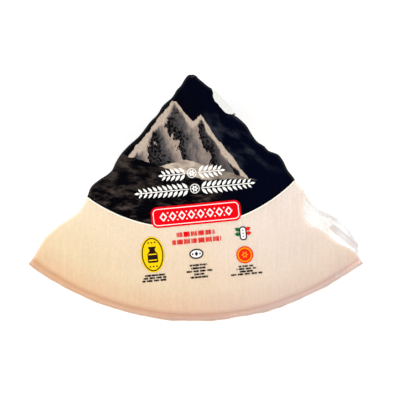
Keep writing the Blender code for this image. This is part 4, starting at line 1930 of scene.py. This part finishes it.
class FilmLook(bpy.types.PropertyGroup):
    """The clear film."""

    gloss_roughness: number_setting(
        "Gloss roughness", "How soft its highlights are", 0.12, max=1.0, subtype="FACTOR"
    )
    crease_depth: length_setting("Crease depth", "How deep the film's creases are", 0.0010)
    tint: colour_setting("Tint", "What light takes from the film", 254, 254, 254)
    web_tint: colour_setting("Spare film, tint", "As the tint", 253.9, 254.1, 254.8)
    web_grey: colour_setting("Spare film, grey", "Its shaded pane", 236, 230, 236)
    fold_colour: colour_setting("Bare fold", "The milky fold near the point", 229, 228, 224)


class PrintLook(bpy.types.PropertyGroup):
    """The print's inks."""

    white: colour_setting("White", "Garlands and lines", 255, 253, 248)
    border: colour_setting("Border", "The line round the dark field", 253, 244, 230)
    red: colour_setting("Red", "The plate", 236, 6, 22)
    seal_red: colour_setting("Warm red", "The seal", 236, 40, 20)
    orange: colour_setting("Orange", "The seal's flower", 250, 150, 20)
    yellow: colour_setting("Yellow", "The badge", 250, 208, 16)
    green: colour_setting("Green", "Small leaves", 24, 104, 58)
    dark: colour_setting("Dark", "The badge's lines", 40, 26, 20)
    grey: colour_setting("Grey", "The marks' outlines", 46, 41, 39)
    small: colour_setting("Small print", "Rows of small strokes", 34, 26, 26)
    picture_black: colour_setting("Picture, black", "Its shadows", 5, 5, 9)
    picture_grey: colour_setting("Picture, grey", "Its mid tones", 92, 86, 86)
    picture_stone: colour_setting("Picture, stone", "Its warm greys", 168, 150, 136)
    picture_pale: colour_setting("Picture, pale", "Its lights", 222, 204, 184)
    picture_brown: colour_setting("Picture, brown", "Its hills", 80, 69, 64)
    picture_navy: colour_setting("Picture, navy", "Its sky", 3, 5, 20)
    picture_mist: colour_setting("Picture, mist", "Faint clouds in its sky", 92, 96, 108)


class StageLook(bpy.types.PropertyGroup):
    """Floor and light."""

    floor_radius: number_setting(
        "Floor radius", "Half the floor's width", 8.0, min=1.0, unit="LENGTH"
    )
    floor_colour: colour_setting("Floor", "The pale floor", 248, 248, 248)
    floor_glow: number_setting("Floor glow", "Light that the floor gives of its own", 0.30)
    world_strength: number_setting("Studio light", "How bright the studio is", 1.08)


class PackOperator(bpy.types.Operator):
    """What the pack's operators have in common."""

    bl_options = {"REGISTER", "UNDO"}


class CHEESE_OT_wedge(PackOperator):
    """Makes the wedge of cheese that lies in the film"""

    bl_idname = "cheese_pack.wedge"
    bl_label = "Cheese"

    def execute(self, context):
        look = context.scene.cheese_look
        finish_piece(build_cheese(look), cheese_material(look), sharp=math.radians(70))
        return {"FINISHED"}


class CHEESE_OT_crystals(PackOperator):
    """Scatters crystals over the cheese"""

    bl_idname = "cheese_pack.crystals"
    bl_label = "Crystals"

    def execute(self, context):
        look = context.scene.cheese_look
        cheese = bpy.data.objects["cheese_wedge"]
        cheese.data.transform(SHIFT_MATRIX.inverted())
        values = {"cheese": cheese, "density": look.crystal_density, "size": look.crystal_size}
        values |= {"seed": CRYSTAL_SEED, "material": crystal_material(look)}
        grains = crystal_growth().grow("cheese_crystals", **values)
        cheese.data.transform(SHIFT_MATRIX)
        finish_piece(grains)
        return {"FINISHED"}


class CHEESE_OT_film(PackOperator):
    """Draws the clear film round the cheese"""

    bl_idname = "cheese_pack.film"
    bl_label = "Film"

    def execute(self, context):
        look = context.scene.film_look
        film = finish_piece(build_film(), film_material(look), sharp=math.radians(60))
        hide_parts(NODE)
        return {"FINISHED"}


class CHEESE_OT_web(PackOperator):
    """Makes the web of spare film, and the fold of bare film near the point"""

    bl_idname = "cheese_pack.web"
    bl_label = "Spare film"

    def execute(self, context):
        look = context.scene.film_look
        finish_piece(build_web(), web_material(look))
        fold = skin_part("film_fold", (fold_field,), fold_span)
        finish_piece(fold, ink_material("bare_fold", look.fold_colour))
        return {"FINISHED"}


class CHEESE_OT_picture(PackOperator):
    """Prints the dark field with its picture, and the pale line round it"""

    bl_idname = "cheese_pack.picture"
    bl_label = "Picture"

    def execute(self, context):
        look = context.scene.print_look
        field = skin_part("print_picture", (field_inside, off_fold))
        finish_piece(field, picture_material(look))
        border = skin_part("print_border", (border_inside, border_outside))
        finish_piece(border, ink_material("print_border", look.border))
        return {"FINISHED"}


class CHEESE_OT_heading(PackOperator):
    """Prints the garlands and the red plate"""

    bl_idname = "cheese_pack.heading"
    bl_label = "Garlands and plate"

    def execute(self, context):
        look = context.scene.print_look
        lay_garlands(look)
        lay_plate(look)
        return {"FINISHED"}


class CHEESE_OT_marks(PackOperator):
    """Prints the badge, the small marks and the rows of small strokes"""

    bl_idname = "cheese_pack.marks"
    bl_label = "Badge, marks and rows"

    def execute(self, context):
        look = context.scene.print_look
        lay_badge(look)
        lay_marks(look)
        lay_rows("print_rows_red", RED_ROWS, RED_STROKE, look.red)
        lay_rows("print_rows_dark", DARK_ROWS, DARK_STROKE, look.small)
        return {"FINISHED"}


class CHEESE_OT_stage(PackOperator):
    """Sets up the floor, the light and the camera"""

    bl_idname = "cheese_pack.stage"
    bl_label = "Stage"

    def execute(self, context):
        look = context.scene.stage_look
        set_floor(look)
        set_world(look)
        for lamp in LAMPS:
            set_lamp(*lamp)
        set_camera()
        context.scene.view_settings.view_transform = "Standard"
        return {"FINISHED"}


OPERATORS = (
    CHEESE_OT_wedge, CHEESE_OT_crystals, CHEESE_OT_film, CHEESE_OT_web, CHEESE_OT_picture,
    CHEESE_OT_heading, CHEESE_OT_marks, CHEESE_OT_stage,
)  # fmt: skip
LOOKS = {
    "cheese_look": CheeseLook, "film_look": FilmLook, "print_look": PrintLook,
    "stage_look": StageLook,
}  # fmt: skip


class CHEESE_PT_pack(bpy.types.Panel):
    """Lists the pack's pieces and their settings."""

    bl_label = "Cheese pack"
    bl_space_type = "VIEW_3D"
    bl_region_type = "UI"
    bl_category = "Cheese pack"

    def draw(self, context):
        for operator in OPERATORS:
            self.layout.operator(operator.bl_idname)
        for key, group in LOOKS.items():
            box = self.layout.box()
            for setting in group.__annotations__:
                box.prop(getattr(context.scene, key), setting)


def register():
    """Adds the settings, the operators and the panel to Blender."""
    for each in (*LOOKS.values(), *OPERATORS, CHEESE_PT_pack):
        bpy.utils.register_class(each)
    for key, group in LOOKS.items():
        setattr(bpy.types.Scene, key, bpy.props.PointerProperty(type=group))


def unregister():
    """Takes them away again."""
    for key in LOOKS:
        delattr(bpy.types.Scene, key)
    for each in (CHEESE_PT_pack, *reversed(OPERATORS), *reversed(LOOKS.values())):
        bpy.utils.unregister_class(each)


def main():
    """Builds the pack and its stage."""
    register()
    for operator in OPERATORS:
        group, name = operator.bl_idname.split(".")
        getattr(getattr(bpy.ops, group), name)()


if __name__ == "__main__":
    main()
